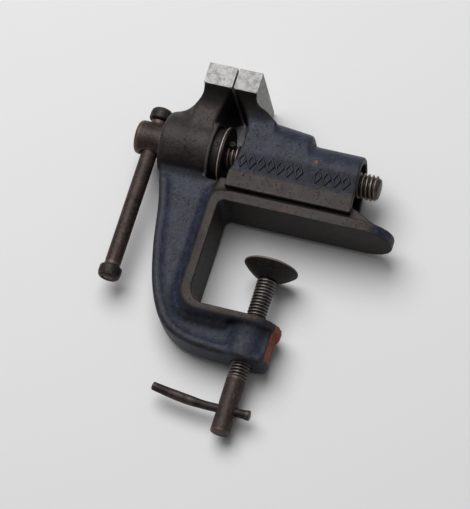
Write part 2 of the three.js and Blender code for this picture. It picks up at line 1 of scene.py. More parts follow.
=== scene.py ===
"""Bench vise: the finished look of a small clamp-on table vise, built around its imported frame.

Castings are skinned copies of the frame's solids, softened where a sand mould rounds them and left crisp
where they are ground or milled. Screws, handle, collar, pad and bars are turned or swept. All sizes are in
millimetres until a mesh is made, and in metres after that.
"""

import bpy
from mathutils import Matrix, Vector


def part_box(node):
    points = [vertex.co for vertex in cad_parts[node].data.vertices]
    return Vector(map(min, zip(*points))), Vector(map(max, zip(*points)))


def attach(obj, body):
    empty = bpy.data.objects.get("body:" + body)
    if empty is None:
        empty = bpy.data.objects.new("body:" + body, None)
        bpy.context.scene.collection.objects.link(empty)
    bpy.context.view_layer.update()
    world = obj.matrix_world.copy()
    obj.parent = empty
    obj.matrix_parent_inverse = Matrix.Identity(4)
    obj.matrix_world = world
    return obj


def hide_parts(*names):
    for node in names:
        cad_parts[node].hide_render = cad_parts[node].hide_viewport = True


bl_info = {
    "name": "Bench Vise",
    "version": (1, 0, 0),
    "blender": (4, 5, 0),
    "location": "View3D > Sidebar > Vise",
    "description": "Builds a worn clamp-on bench vise with its finishes and a soft studio stage",
    "category": "Object",
}

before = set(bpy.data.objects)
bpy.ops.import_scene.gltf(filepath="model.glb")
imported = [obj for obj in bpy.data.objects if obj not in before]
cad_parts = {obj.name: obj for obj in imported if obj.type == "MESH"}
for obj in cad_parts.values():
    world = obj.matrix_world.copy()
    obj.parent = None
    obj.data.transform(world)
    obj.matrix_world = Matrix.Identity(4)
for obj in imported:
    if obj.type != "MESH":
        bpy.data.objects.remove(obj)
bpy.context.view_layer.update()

import math

import bmesh
import bpy
import numpy as np
from mathutils import Matrix, Vector

MM = 0.001


def box_mm(node):
    """Lowest and highest corner of a frame solid, in millimetres."""
    low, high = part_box(node)
    return np.array(low) / MM, np.array(high) / MM


# ---------------------------------------------------------------- sizes

# Read from the frame's boxes where those give them, and otherwise written out as the frame's source has them.

CASTING_LOW, CASTING_HIGH = box_mm("frame_casting")
SLIDE_LOW, SLIDE_HIGH = box_mm("sliding_jaw")
SCREW_LOW, SCREW_HIGH = box_mm("main_screw")
CLAMP_LOW, CLAMP_HIGH = box_mm("clamp_screw")
PAD_LOW, PAD_HIGH = box_mm("clamp_pad")
BAR_LOW, BAR_HIGH = box_mm("handle_bar")
WASHER_LOW, WASHER_HIGH = box_mm("retaining_washer")
COLLAR_LOW, COLLAR_HIGH = box_mm("thrust_collar")

SCREW_Z = (SCREW_LOW[2] + SCREW_HIGH[2]) / 2
HEAD_R = (SCREW_HIGH[2] - SCREW_LOW[2]) / 2
BAR_X = (BAR_LOW[0] + BAR_HIGH[0]) / 2
BAR_R = (BAR_HIGH[0] - BAR_LOW[0]) / 2
JAW_TOP = CASTING_HIGH[2]
JAW_HALF = CASTING_HIGH[1]

JAW_FACE_X = -40.3
FRONT_JAW_THICKNESS = 14.2
REAR_JAW_THICKNESS = 11.8
ARM_SIDE = 11.25
SLIDE_HALF = 14.1
JAW_BAND_LOW = JAW_TOP - 11.0
BOSS_FRONT = -69.5
BOSS_REAR = -43.0
THROAT_X = -31.5
ARM_TOP = -53.0
SLIDE_EDGE = SLIDE_LOW[2]
STRIP_TOP = SLIDE_EDGE + 8.7
MAIN_R = 6.35
CLAMP_R = 4.76
CLAMP_BAR_R = 2.1
CLAMP_BAR_END_R = 2.5

# The camera and the lights: angles in degrees, and in metres how far the light lies to the right of the vise,
# above it and in front of it, in the camera's view, then its width and its power in watts.
AZIMUTH, ELEVATION, ROLL = 14.0, -19.5, 17.7
VIEW_CENTRE = Vector((-19.676, 2.361, -19.911)) * MM
VIEW_DISTANCE = 1.44
LENS = 212.18074656
LIGHTS = (
    ("key", (-0.3175, 0.9525, 0.8255), 1.2, 19.5),
    ("overhead", (-0.1, 0.5, 1.5), 1.3, 2.6),
    ("behind", (-0.2, 0.5, -1.3), 1.1, 6.5),
)
FLOOR_REACH = 900


# ---------------------------------------------------------------- settings


class ViseSettings(bpy.types.PropertyGroup):
    """Sizes and colours that change the vise's finish."""

    skin: bpy.props.FloatProperty(
        name="Skin grain",
        description="Size of the squares that the castings are skinned with",
        default=0.52 * MM,
        min=0.4 * MM,
        max=2 * MM,
        unit="LENGTH",
    )
    softness: bpy.props.IntProperty(
        name="Casting softness",
        description="Smoothing passes over the rough-cast surfaces",
        default=30,
        min=0,
        max=120,
    )
    main_pitch: bpy.props.FloatProperty(
        name="Main screw pitch",
        description="Distance between the main screw's threads",
        default=25.4 / 12 * MM,
        unit="LENGTH",
    )
    clamp_pitch: bpy.props.FloatProperty(
        name="Clamp screw pitch",
        description="Distance between the clamp screw's threads",
        default=25.4 / 16 * MM,
        unit="LENGTH",
    )
    ornament_height: bpy.props.FloatProperty(
        name="Ornament height",
        description="Height of the raised lozenges on the slide's sides",
        default=6.8 * MM,
        unit="LENGTH",
    )
    ornament_stroke: bpy.props.FloatProperty(
        name="Ornament stroke",
        description="Thickness of the raised lozenges' edges",
        default=1.6 * MM,
        unit="LENGTH",
    )
    paint: bpy.props.FloatVectorProperty(
        name="Paint",
        description="Colour of the slate blue-black paint left on the castings",
        subtype="COLOR",
        default=(0.019, 0.024, 0.042),
        min=0,
        max=1,
    )
    bare_iron: bpy.props.FloatVectorProperty(
        name="Bare iron",
        description="Colour of handled cast iron where the paint is gone",
        subtype="COLOR",
        default=(0.0275, 0.022, 0.020),
        min=0,
        max=1,
    )
    ground_steel: bpy.props.FloatVectorProperty(
        name="Ground iron",
        description="Colour of the jaws' ground faces",
        subtype="COLOR",
        default=(0.37, 0.365, 0.36),
        min=0,
        max=1,
    )
    patina: bpy.props.FloatVectorProperty(
        name="Brown patina",
        description="Colour of the bars and the screw's head",
        subtype="COLOR",
        default=(0.040, 0.026, 0.022),
        min=0,
        max=1,
    )
    rust: bpy.props.FloatVectorProperty(
        name="Rust red",
        description="Colour of the rusted flat at the arm's end",
        subtype="COLOR",
        default=(0.22, 0.062, 0.036),
        min=0,
        max=1,
    )
    backdrop: bpy.props.FloatVectorProperty(
        name="Floor",
        description="Colour of the floor that the vise lies on",
        subtype="COLOR",
        default=(0.66, 0.66, 0.66),
        min=0,
        max=1,
    )


def settings():
    return bpy.context.scene.vise_settings


# ---------------------------------------------------------------- node graphs


class Value:
    """A socket that can be used in a Python expression; each operation adds a Math node."""

    def __init__(self, graph, socket):
        self.graph = graph
        self.socket = socket

    def math(self, operation, *terms):
        inputs = dict(enumerate(terms))
        node = self.graph.node("ShaderNodeMath", {"operation": operation}, inputs)
        return Value(self.graph, node.outputs[0])

    def __add__(self, other):
        return self.math("ADD", self, other)

    def __radd__(self, other):
        return self.math("ADD", other, self)

    def __sub__(self, other):
        return self.math("SUBTRACT", self, other)

    def __rsub__(self, other):
        return self.math("SUBTRACT", other, self)

    def __mul__(self, other):
        return self.math("MULTIPLY", self, other)

    def __rmul__(self, other):
        return self.math("MULTIPLY", other, self)

    def __truediv__(self, other):
        return self.math("DIVIDE", self, other)

    def __abs__(self):
        return self.math("ABSOLUTE", self)

    def least(self, other):
        return self.math("MINIMUM", self, other)

    def most(self, other):
        return self.math("MAXIMUM", self, other)

    def between(self, low, high):
        """0 below low, 1 above high, and smooth in between."""
        node = self.graph.node(
            "ShaderNodeMapRange",
            {"interpolation_type": "SMOOTHSTEP"},
            {"Value": self, "From Min": low, "From Max": high},
        )
        return Value(self.graph, node.outputs[0])


class Graph:
    """One node tree and the way nodes are added to it."""

    def __init__(self, tree):
        self.tree = tree
        tree.nodes.clear()

    def node(self, kind, choices=None, inputs=None):
        """A node of a kind, with its settings made first and then its sockets' values or links."""
        node = self.tree.nodes.new(kind)
        for name, choice in (choices or {}).items():
            setattr(node, name, choice)
        for key, given in (inputs or {}).items():
            socket = node.inputs[key]
            source = given.socket if isinstance(given, Value) else given
            if isinstance(source, bpy.types.NodeSocket):
                self.tree.links.new(source, socket)
            else:
                socket.default_value = source
        return node

    def value(self, node, output=0):
        return Value(self, node.outputs[output])


class Finish(Graph):
    """A material in the making: a Principled shader and patterns on the piece's own coordinates."""

    def __init__(self, name):
        self.material = bpy.data.materials.new(name)
        self.material.use_nodes = True
        super().__init__(self.material.node_tree)
        self.place = self.node("ShaderNodeTexCoord").outputs["Object"]

    def noise(self, scale, detail, roughness, distortion=0.0):
        inputs = {"Scale": scale, "Detail": detail, "Roughness": roughness, "Distortion": distortion}
        inputs["Vector"] = self.place
        return self.value(self.node("ShaderNodeTexNoise", None, inputs))

    def cells(self, scale):
        inputs = {"Scale": scale, "Vector": self.place}
        return self.value(self.node("ShaderNodeTexVoronoi", {"feature": "F1"}, inputs))

    def painted(self, name):
        """A number stored on the piece's surface."""
        return self.value(self.node("ShaderNodeAttribute", {"attribute_name": name}), "Fac")

    def mix(self, share, low, high):
        """The low colour where the share is 0, and the high one where it is 1."""
        low, high = [c if isinstance(c, bpy.types.NodeSocket) else (*c, 1.0) for c in (low, high)]
        return self.node("ShaderNodeMix", {"data_type": "RGBA"}, {0: share, 6: low, 7: high}).outputs[2]

    def relief(self, height, depth, strength):
        inputs = {"Height": height, "Distance": depth, "Strength": strength}
        return self.node("ShaderNodeBump", None, inputs).outputs[0]

    def close(self, color, roughness, metallic, normal, specular):
        inputs = {"Base Color": color, "Roughness": roughness, "Metallic": metallic, "Normal": normal}
        inputs["Specular IOR Level"] = specular
        shader = self.node("ShaderNodeBsdfPrincipled", None, inputs)
        self.node("ShaderNodeOutputMaterial", None, {"Surface": shader.outputs[0]})
        return self.material


def scaled(color, factor):
    return tuple(min(1.0, c * factor) for c in color)


# ---------------------------------------------------------------- finishes


def casting_finish():
    """Blue-black paint over cast iron, gone on the handled parts, with ground steel on the jaws, painted
    shade where it is stored and a painted highlight on marked rims.
    """
    known = bpy.data.materials.get("painted_casting")
    if known:
        return known
    s = settings()
    f = Finish("painted_casting")
    blotch = f.noise(95, 5, 0.62)
    mottle = f.noise(430, 6, 0.72)
    grain = f.noise(1500, 4, 0.75)
    specks = f.noise(2300, 2, 0.5)
    pits = f.cells(900)
    pitted = (1 - pits.between(0.10, 0.30)) * f.noise(330, 2, 0.5).between(0.44, 0.56)

    dark = scaled(s.paint, 0.30)
    paint = f.mix((blotch * 0.6 + mottle * 0.6).between(0.42, 0.76), dark, s.paint)
    paint = f.mix(mottle.between(0.50, 0.68) * 0.7, paint, scaled(s.paint, 1.9))
    paint = f.mix(grain.between(0.54, 0.70) * 0.55, paint, scaled(s.paint, 2.6))
    paint = f.mix(f.noise(260, 5, 0.7).between(0.58, 0.68) * 0.7, paint, scaled(s.bare_iron, 1.1))
    paint = f.mix(pitted * 0.9, paint, (0.004, 0.004, 0.005))

    bare = f.mix((mottle * 0.7 + blotch * 0.6).between(0.46, 0.74), scaled(s.bare_iron, 0.30), s.bare_iron)
    bare = f.mix(grain.between(0.54, 0.70) * 0.55, bare, scaled(s.bare_iron, 2.4))
    bare = f.mix(f.noise(240, 4, 0.7).between(0.56, 0.70) * 0.6, bare, (0.060, 0.032, 0.022))
    bare = f.mix(pitted * 0.7, bare, (0.005, 0.004, 0.004))

    steel = f.mix(mottle.between(0.44, 0.66), s.ground_steel, scaled(s.ground_steel, 0.60))
    steel = f.mix(grain.between(0.48, 0.66) * 0.6, steel, scaled(s.ground_steel, 0.42))
    steel = f.mix(f.noise(130, 5, 0.7).between(0.52, 0.70) * 0.45, steel, (0.22, 0.175, 0.14))

    worn = f.painted("worn")
    edge = f.painted("edge")
    painted_shade = f.painted("painted_shade")
    ground = f.painted("ground")
    painted_rim_highlight = f.painted("painted_rim_highlight")
    rust = f.painted("rust")
    bare_share = (worn * 1.25 + mottle * 0.7 - 0.45).between(0.18, 0.62)
    edge_share = (edge * 1.5 + mottle * 0.8 + blotch * 0.3 - 0.78).between(0.12, 0.55)
    color = f.mix(bare_share, paint, bare)
    color = f.mix(edge_share * 0.35, color, scaled(s.bare_iron, 1.5))
    # Painted shade: darkens the casting where shade is stored on it.
    color = f.mix(painted_shade * 0.72, color, scaled(s.bare_iron, 0.12))
    red = f.mix(mottle.between(0.4, 0.72), s.rust, scaled(s.rust, 0.45))
    rust_share = (rust * 1.2 + blotch * 0.25 + mottle * 0.25 - 0.36).between(0.3, 0.55)
    color = f.mix(rust_share, color, red)
    ground_share = (ground * 1.4 + mottle * 0.35 - 0.4).between(0.30, 0.52)
    color = f.mix(ground_share, color, steel)
    # Painted highlight: a lighter, steel-coloured line on marked rims.
    painted_highlight_share = (painted_rim_highlight * 1.2 + mottle * 0.6 - 0.45).between(0.10, 0.60)
    color = f.mix(painted_highlight_share * 0.8, color, scaled(s.ground_steel, 0.30))

    metal = (ground_share * 0.35).most(bare_share.most(edge_share) * 0.25) * (1 - rust_share)
    rough = 0.38 + mottle * 0.20 - bare_share * 0.02 + painted_shade * 0.3 + rust_share * 0.25 + ground_share * 0.12
    height = specks * 0.25 + grain * 0.4 + mottle * 0.9 - pitted * 0.6
    rugged = 1 - ground_share * 0.86
    normal = f.relief(height * rugged, 0.00035, 0.85)
    return f.close(color, rough, metal, normal, 0.25)


def steel_finish(name, tone, bright, speckle, rough, metal, edge_tone=2.4):
    """Turned steel with a brown or grey patina, rubbed lighter in spots and at the edges, with painted shade
    where it is stored and a painted highlight on marked rims.
    """
    known = bpy.data.materials.get(name)
    if known:
        return known
    f = Finish(name)
    blotch = f.noise(150, 5, 0.65, 0.4)
    mottle = f.noise(650, 5, 0.7)
    specks = f.noise(2300, 3, 0.6)
    color = f.mix((blotch * 0.75 + mottle * 0.4).between(0.42, 0.72), scaled(tone, 0.36), tone)
    color = f.mix(mottle.between(0.52, 0.68) * 0.7, color, scaled(tone, 2.1))
    color = f.mix(specks.between(0.60, 0.70) * speckle, color, bright)
    color = f.mix(f.noise(330, 4, 0.7).between(0.60, 0.70) * 0.5, color, (0.075, 0.034, 0.024))
    edge = f.painted("edge")
    share = (edge * 1.5 + mottle * 0.7 - 0.6).between(0.15, 0.6)
    color = f.mix(share * 0.8, color, scaled(tone, edge_tone))
    # Painted shade where it is stored.
    color = f.mix(f.painted("painted_shade") * 0.85, color, scaled(tone, 0.10))
    # Painted highlight on rims that are marked for one.
    painted_rim_highlight = (f.painted("painted_rim_highlight") * 1.3 + mottle * 0.9 - 0.55).between(0.10, 0.60)
    color = f.mix(painted_rim_highlight * 0.85, color, scaled(bright, 1.6))
    roughness = rough + mottle * 0.22 - share * 0.1 - painted_rim_highlight * 0.1
    normal = f.relief(specks * 0.3 + mottle * 0.8, 0.00012, 0.6)
    return f.close(color, roughness, metal, normal, 0.28)


def bar_finish():
    return steel_finish("brown_patina", settings().patina, (0.20, 0.17, 0.15), 0.42, 0.42, 0.3)


def thread_finish():
    return steel_finish("dull_thread", (0.085, 0.077, 0.070), (0.26, 0.24, 0.22), 0.3, 0.40, 0.8)


def dark_finish():
    tone, bright = (0.018, 0.014, 0.012), (0.10, 0.08, 0.07)
    return steel_finish("dark_patina", tone, bright, 0.15, 0.55, 0.2, edge_tone=4.0)


def knob_finish():
    return steel_finish("knob_patina", (0.024, 0.018, 0.016), (0.16, 0.12, 0.10), 0.35, 0.42, 0.3)


def main_thread_finish():
    tone, bright = (0.075, 0.060, 0.054), (0.20, 0.17, 0.15)
    return steel_finish("brown_thread", tone, bright, 0.3, 0.38, 0.7, edge_tone=3.5)


def rubbed_finish():
    return steel_finish("rubbed_steel", (0.020, 0.016, 0.014), (0.24, 0.20, 0.18), 0.1, 0.50, 0.3)


# ---------------------------------------------------------------- mesh work


def keep_object(name, mesh):
    obj = bpy.data.objects.new(name, mesh)
    bpy.context.collection.objects.link(obj)
    return obj


def mesh_from(name, points, faces):
    """A mesh from points in millimetres, with its doubles merged and its faces turned outwards."""
    mesh = bpy.data.meshes.new(name)
    mesh.from_pydata((np.asarray(points, float) * MM).tolist(), [], [list(map(int, f)) for f in faces])
    tidy(mesh)
    return mesh


def tidy(mesh, distance=2e-6):
    work = bmesh.new()
    work.from_mesh(mesh)
    bmesh.ops.remove_doubles(work, verts=work.verts, dist=distance)
    bmesh.ops.recalc_face_normals(work, faces=work.faces)
    work.to_mesh(mesh)
    work.free()


def coordinates(mesh):
    points = np.empty(len(mesh.vertices) * 3)
    mesh.vertices.foreach_get("co", points)
    return points.reshape(-1, 3)


def normals(mesh):
    directions = np.empty(len(mesh.vertices) * 3)
    mesh.vertices.foreach_get("normal", directions)
    return directions.reshape(-1, 3)


def edge_pairs(mesh):
    pairs = np.empty(len(mesh.edges) * 2, dtype=np.int64)
    mesh.edges.foreach_get("vertices", pairs)
    return pairs.reshape(-1, 2)


def neighbour_mean(values, pairs, count):
    total = np.stack(
        [
            np.bincount(pairs[:, 0], values[pairs[:, 1], k], len(values))
            + np.bincount(pairs[:, 1], values[pairs[:, 0], k], len(values))
            for k in range(values.shape[1])
        ],
        axis=1,
    )
    return total / count[:, None]


def smoothed(points, pairs, passes, softness=None):
    """Points drawn halfway to their neighbours' mean, or less where their softness is under 1."""
    count = np.bincount(pairs.ravel(), minlength=len(points)).clip(1)
    pull = 0.5 if softness is None else 0.5 * softness[:, None]
    for _ in range(passes):
        points = points + pull * (neighbour_mean(points, pairs, count) - points)
    return points


def store(mesh, name, values):
    layer = mesh.attributes.get(name) or mesh.attributes.new(name, "FLOAT", "POINT")
    layer.data.foreach_set("value", np.clip(values, 0, 1).astype(np.float32))


def stored(mesh, name):
    values = np.empty(len(mesh.vertices), np.float32)
    mesh.attributes[name].data.foreach_get("value", values)
    return values


def ramp(x, low, high):
    """0 below low, 1 above high, and smooth in between."""
    t = np.clip((x - low) / (high - low), 0, 1)
    return t * t * (3 - 2 * t)


def store_wear(mesh, reach, scale):
    """Stores how far each point stands out of, or lies back from, the surface round it; how far it lies back
    is stored as painted shade.
    """
    pairs = edge_pairs(mesh)
    points = coordinates(mesh)
    soft = smoothed(points, pairs, reach)
    out = np.einsum("ij,ij->i", points - soft, normals(mesh)) / MM
    out = smoothed(out[:, None], pairs, 2)[:, 0]
    store(mesh, "edge", ramp(out, 0.02, scale))
    # Points that lie back in recesses and creases get painted shade.
    store(mesh, "painted_shade", ramp(-out, 0.02, scale * 1.1))


def applied(obj):
    """The object with its modifiers turned into a plain mesh."""
    bpy.context.view_layer.update()
    evaluated = obj.evaluated_get(bpy.context.evaluated_depsgraph_get())
    mesh = bpy.data.meshes.new_from_object(evaluated)
    obj.modifiers.clear()
    obj.data = mesh
    return obj


def finish_piece(obj, body, material, nodes, sharp=34):
    """Gives a piece its material, shading and body, and hides the frame solids it stands for."""
    mesh = obj.data
    mesh.materials.clear()
    mesh.materials.append(material)
    mesh.polygons.foreach_set("material_index", [0] * len(mesh.polygons))
    mesh.polygons.foreach_set("use_smooth", [True] * len(mesh.polygons))
    mesh.set_sharp_from_angle(angle=math.radians(sharp))
    mesh.update()
    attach(obj, body)
    if nodes:
        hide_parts(*nodes)
    return obj


def turned(profile, segments):
    """Points and faces of a solid turned about Z, from the (radius, height) pairs of its outline."""
    points, faces, rings = [], [], []
    for radius, height in profile:
        if radius < 1e-6:
            rings.append([len(points)])
            points.append((0, 0, height))
            continue
        rings.append(list(range(len(points), len(points) + segments)))
        for i in range(segments):
            angle = 2 * math.pi * i / segments
            points.append((radius * math.cos(angle), radius * math.sin(angle), height))
    for lower, upper in zip(rings, rings[1:]):
        for i in range(segments):
            j = (i + 1) % segments
            below = [lower[i % len(lower)], lower[j % len(lower)]]
            above = [upper[j % len(upper)], upper[i % len(upper)]]
            faces.append(list(dict.fromkeys(below + above)))
    return np.array(points, float), faces


def softened(profile, radius, closed=False, steps=4):
    """A profile with its corners rounded, as far as its lines are long enough."""
    points = [np.array(p, float) for p in profile]
    result = []
    last = len(points) - 1
    for i, corner in enumerate(points):
        if i in (0, last) and not closed:
            result.append(corner)
            continue
        before, after = points[i - 1], points[(i + 1) % len(points)]
        back, on = before - corner, after - corner
        reach = min(radius, np.linalg.norm(back) * 0.45, np.linalg.norm(on) * 0.45)
        start = corner + back / np.linalg.norm(back) * reach
        end = corner + on / np.linalg.norm(on) * reach
        for k in range(steps + 1):
            t = k / steps
            result.append((1 - t) ** 2 * start + 2 * t * (1 - t) * corner + t**2 * end)
    if closed:
        result.append(result[0])
    return [tuple(p) for p in result]


def fine(profile, step):
    """A profile with points added so that none are further apart than step."""
    result = [profile[0]]
    for a, b in zip(profile, profile[1:]):
        start, way = np.array(a), np.array(b) - np.array(a)
        count = max(1, math.ceil(math.dist(a, b) / step))
        result.extend(tuple(start + way * k / count) for k in range(1, count + 1))
    return result


def along_x(points, z):
    """Turns a solid about Z into one about the line that runs along X at height z."""
    return np.stack([points[:, 2], points[:, 1], z - points[:, 0]], axis=1)


def turned_mesh(name, profile, axis="Z", x=0.0, z=0.0, segments=64, step=1.0):
    points, faces = turned(fine(profile, step), segments)
    points = along_x(points, z) if axis == "X" else points + [x, 0, 0]
    return mesh_from(name, points, faces)


def ring_profile(inner, outer, low, high, radius):
    return softened([(inner, low), (outer, low), (outer, high), (inner, high)], radius, closed=True)


def joined(name, *meshes):
    """One mesh of several closed ones."""
    work = bmesh.new()
    for mesh in meshes:
        work.from_mesh(mesh)
    mesh = bpy.data.meshes.new(name)
    work.to_mesh(mesh)
    work.free()
    return mesh


def drilled(mesh, *drills):
    """A mesh with holes cut by other closed meshes."""
    obj = keep_object(mesh.name + "_blank", mesh)
    tools = []
    for drill in drills:
        tool = keep_object(mesh.name + "_drill", drill)
        cut = obj.modifiers.new("hole", "BOOLEAN")
        cut.operation = "DIFFERENCE"
        cut.solver = "EXACT"
        cut.object = tool
        tools.append(tool)
    applied(obj)
    result = obj.data
    for spare in [obj, *tools]:
        bpy.data.objects.remove(spare)
    tidy(result, 1e-6)
    return result


def countersunk_drill(radius, length, surface, flare=0.7):
    """A drill along Z that breaks the edge where it leaves a body of half-thickness `surface`."""
    low = surface - flare
    profile = [(0, -length), (radius + flare + length - surface, -length), (radius, -low)]
    profile += [(radius, low), (radius + flare + length - surface, length), (0, length)]
    return turned(fine(profile, 3.0), 48)


# ---------------------------------------------------------------- repeated shapes by rule


def new_rule(name, inputs):
    """A Geometry Nodes tree with named number inputs and a material."""
    tree = bpy.data.node_groups.new(name, "GeometryNodeTree")
    graph = Graph(tree)
    for label in inputs:
        tree.interface.new_socket(label, in_out="INPUT", socket_type="NodeSocketFloat")
    tree.interface.new_socket("Material", in_out="INPUT", socket_type="NodeSocketMaterial")
    tree.interface.new_socket("Geometry", in_out="OUTPUT", socket_type="NodeSocketGeometry")
    given = graph.node("NodeGroupInput")
    return tree, graph, given


def end_rule(graph, given, geometry):
    real = graph.node("GeometryNodeRealizeInstances", None, {"Geometry": geometry})
    inputs = {"Geometry": real.outputs[0], "Material": given.outputs["Material"]}
    dressed = graph.node("GeometryNodeSetMaterial", None, inputs)
    graph.node("NodeGroupOutput", None, {"Geometry": dressed.outputs[0]})


def run_rule(tree, name, material, values):
    """The mesh that a tree makes from its inputs."""
    obj = keep_object(name, bpy.data.meshes.new(name))
    modifier = obj.modifiers.new(name, "NODES")
    modifier.node_group = tree
    for item in tree.interface.items_tree:
        if item.in_out == "INPUT" and item.name in values:
            modifier[item.identifier] = values[item.name]
        elif item.in_out == "INPUT" and item.name == "Material":
            modifier[item.identifier] = material
    applied(obj)
    mesh = obj.data
    bpy.data.objects.remove(obj)
    return mesh


def thread_rule(turns, sides=56, rings_per_turn=10):
    """A right-hand screw thread about Z: a rod whose radius dips once each pitch, and tapers at both ends."""
    labels = ["Radius", "Length", "Pitch", "Depth", "Chamfer"]
    tree, graph, given = new_rule("Screw thread", labels)
    radius, length, pitch, depth, chamfer = [graph.value(given, label) for label in labels]
    choices = {"fill_type": "NGON"}
    inputs = {"Vertices": sides, "Side Segments": int(turns * rings_per_turn)}
    inputs.update({"Radius": radius, "Depth": length})
    rod = graph.node("GeometryNodeMeshCylinder", choices, inputs)
    where = graph.node("GeometryNodeInputPosition").outputs[0]
    parts = graph.node("ShaderNodeSeparateXYZ", None, {0: where})
    x, y, z = [graph.value(parts, k) for k in range(3)]
    angle = x.math("ARCTAN2", y, x)
    phase = x.math("FRACT", z / pitch - angle / (2 * math.pi) + 0.25)
    groove = 1 - abs(phase * 2 - 1).between(0.12, 0.82)
    limit = radius - chamfer + (length * 0.5 - abs(z))
    factor = (radius - depth * groove).least(limit) / radius
    inputs = {0: x * factor, 1: y * factor, 2: z}
    moved = graph.node("ShaderNodeCombineXYZ", None, inputs)
    inputs = {"Geometry": rod.outputs[0], "Position": moved.outputs[0]}
    end_rule(graph, given, graph.node("GeometryNodeSetPosition", None, inputs).outputs[0])
    return tree


def thread_mesh(name, radius, length, pitch, depth, chamfer, material):
    """A threaded rod about Z, centred on the origin; sizes in millimetres."""
    tree = thread_rule(length / pitch)
    values = {"Radius": radius, "Length": length, "Pitch": pitch, "Depth": depth, "Chamfer": chamfer}
    return run_rule(tree, name, material, {k: v * MM for k, v in values.items()})


def ornament_rule():
    """Two groups of upright lozenges in a row along X, standing out of the X-Z plane."""
    labels = ["Count", "Gap", "Spacing", "Width", "Height", "Stroke"]
    tree, graph, given = new_rule("Lozenge row", labels)
    count, gap, spacing, width, height, stroke = [graph.value(given, label) for label in labels]
    row = graph.node("GeometryNodeMeshLine", None, {"Count": count, "Offset": (0, 0, 0)})
    index = graph.value(graph.node("GeometryNodeInputIndex"))
    inputs = {0: index * spacing, 1: 0.0, 2: 0.0}
    place = graph.node("ShaderNodeCombineXYZ", None, inputs)
    inputs = {"Geometry": row.outputs[0], "Position": place.outputs[0]}
    spread = graph.node("GeometryNodeSetPosition", None, inputs)
    at_gap = index.math("COMPARE", index, gap, 0.5)
    inputs = {"Geometry": spread.outputs[0], "Selection": at_gap}
    groups = graph.node("GeometryNodeDeleteGeometry", {"domain": "POINT"}, inputs)
    inputs = {"Resolution": 4, "Radius": 0.5}
    shape = graph.node("GeometryNodeCurvePrimitiveCircle", {"mode": "RADIUS"}, inputs)
    size = graph.node("ShaderNodeCombineXYZ", None, {0: width, 1: height, 2: 1.0})
    inputs = {"Geometry": shape.outputs[0], "Rotation": (math.pi / 2, 0, 0), "Scale": size.outputs[0]}
    lozenge = graph.node("GeometryNodeTransform", None, inputs)
    inputs = {"Resolution": 12, "Radius": stroke * 0.5}
    section = graph.node("GeometryNodeCurvePrimitiveCircle", {"mode": "RADIUS"}, inputs)
    inputs = {"Curve": lozenge.outputs[0], "Profile Curve": section.outputs[0], "Fill Caps": False}
    frame_ring = graph.node("GeometryNodeCurveToMesh", None, inputs)
    inputs = {"Points": groups.outputs[0], "Instance": frame_ring.outputs[0]}
    end_rule(graph, given, graph.node("GeometryNodeInstanceOnPoints", None, inputs).outputs[0])
    return tree


# ---------------------------------------------------------------- castings


def skinned_casting(node, softness, name):
    """A frame solid's copy in small even squares, rounded where `softness` says that it is rough-cast."""
    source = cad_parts[node]
    mesh = source.data.copy()
    work = bmesh.new()
    work.from_mesh(mesh)
    bmesh.ops.remove_doubles(work, verts=work.verts, dist=1e-6)
    work.to_mesh(mesh)
    work.free()
    obj = keep_object(name, mesh)
    skin = obj.modifiers.new("skin", "REMESH")
    skin.mode = "VOXEL"
    skin.voxel_size = settings().skin
    skin.adaptivity = 0.0
    applied(obj)
    mesh = obj.data
    pairs = edge_pairs(mesh)
    points = coordinates(mesh)
    share = softness(points / MM)
    share = smoothed(share[:, None], pairs, 6)[:, 0]
    points = smoothed(points, pairs, settings().softness, share)
    low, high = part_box(node)
    points = np.clip(points, np.array(low), np.array(high))
    mesh.vertices.foreach_set("co", points.ravel())
    mesh.update()
    return obj


def squared(mesh, axis, planes, above):
    """Draws points above a height and close to a plane onto it, which keeps ground corners sharp."""
    reach = 0.42
    points = coordinates(mesh) / MM
    for plane in planes:
        near = (np.abs(points[:, axis] - plane) < reach) & (points[:, 2] > above)
        points[near, axis] = plane
    mesh.vertices.foreach_set("co", (points * MM).ravel())
    mesh.update()


def square_jaw(mesh, face, back):
    """Sharpens the corners of a jaw's ground band."""
    squared(mesh, 0, [face, back], JAW_BAND_LOW + 0.2)
    squared(mesh, 1, [-JAW_HALF, JAW_HALF], JAW_BAND_LOW - 0.2)
    squared(mesh, 2, [JAW_TOP], JAW_BAND_LOW)


def frame_softness(p):
    """Rough-cast but for the jaw, the plate and rail, the edges of the throat and arm, bore and cavity."""
    x, y, z = p.T
    jaw = ramp(z, 52.5, 55)
    plate = ramp(x, -31, -27) * ramp(z, -4, -1) * (1 - ramp(z, 14, 16))
    throat = 1 - ramp(np.abs(x - THROAT_X), 1.2, 3.5)
    throat *= (1 - ramp(z, 0, 2)) * ramp(z, ARM_TOP - 2, ARM_TOP + 1)
    arm = (1 - ramp(np.abs(z - ARM_TOP), 1.0, 2.6)) * ramp(x, -33, -30)
    bore = 1 - ramp(np.hypot(x, y), 6.0, 7.5)
    cavity = (1 - ramp(np.hypot(y, z - SCREW_Z), 13.6, 15.2)) * ramp(x, -51, -49) * (1 - ramp(x, -42, -40))
    rail = ramp(x, -34, -31) * ramp(z, 5, 6) * (1 - ramp(z, 15, 17))
    crisp = np.max([jaw * 1.09, plate, throat, arm * 0.9, bore, cavity * 0.8, rail * 0.8], axis=0)
    return 1 - 0.90 * crisp


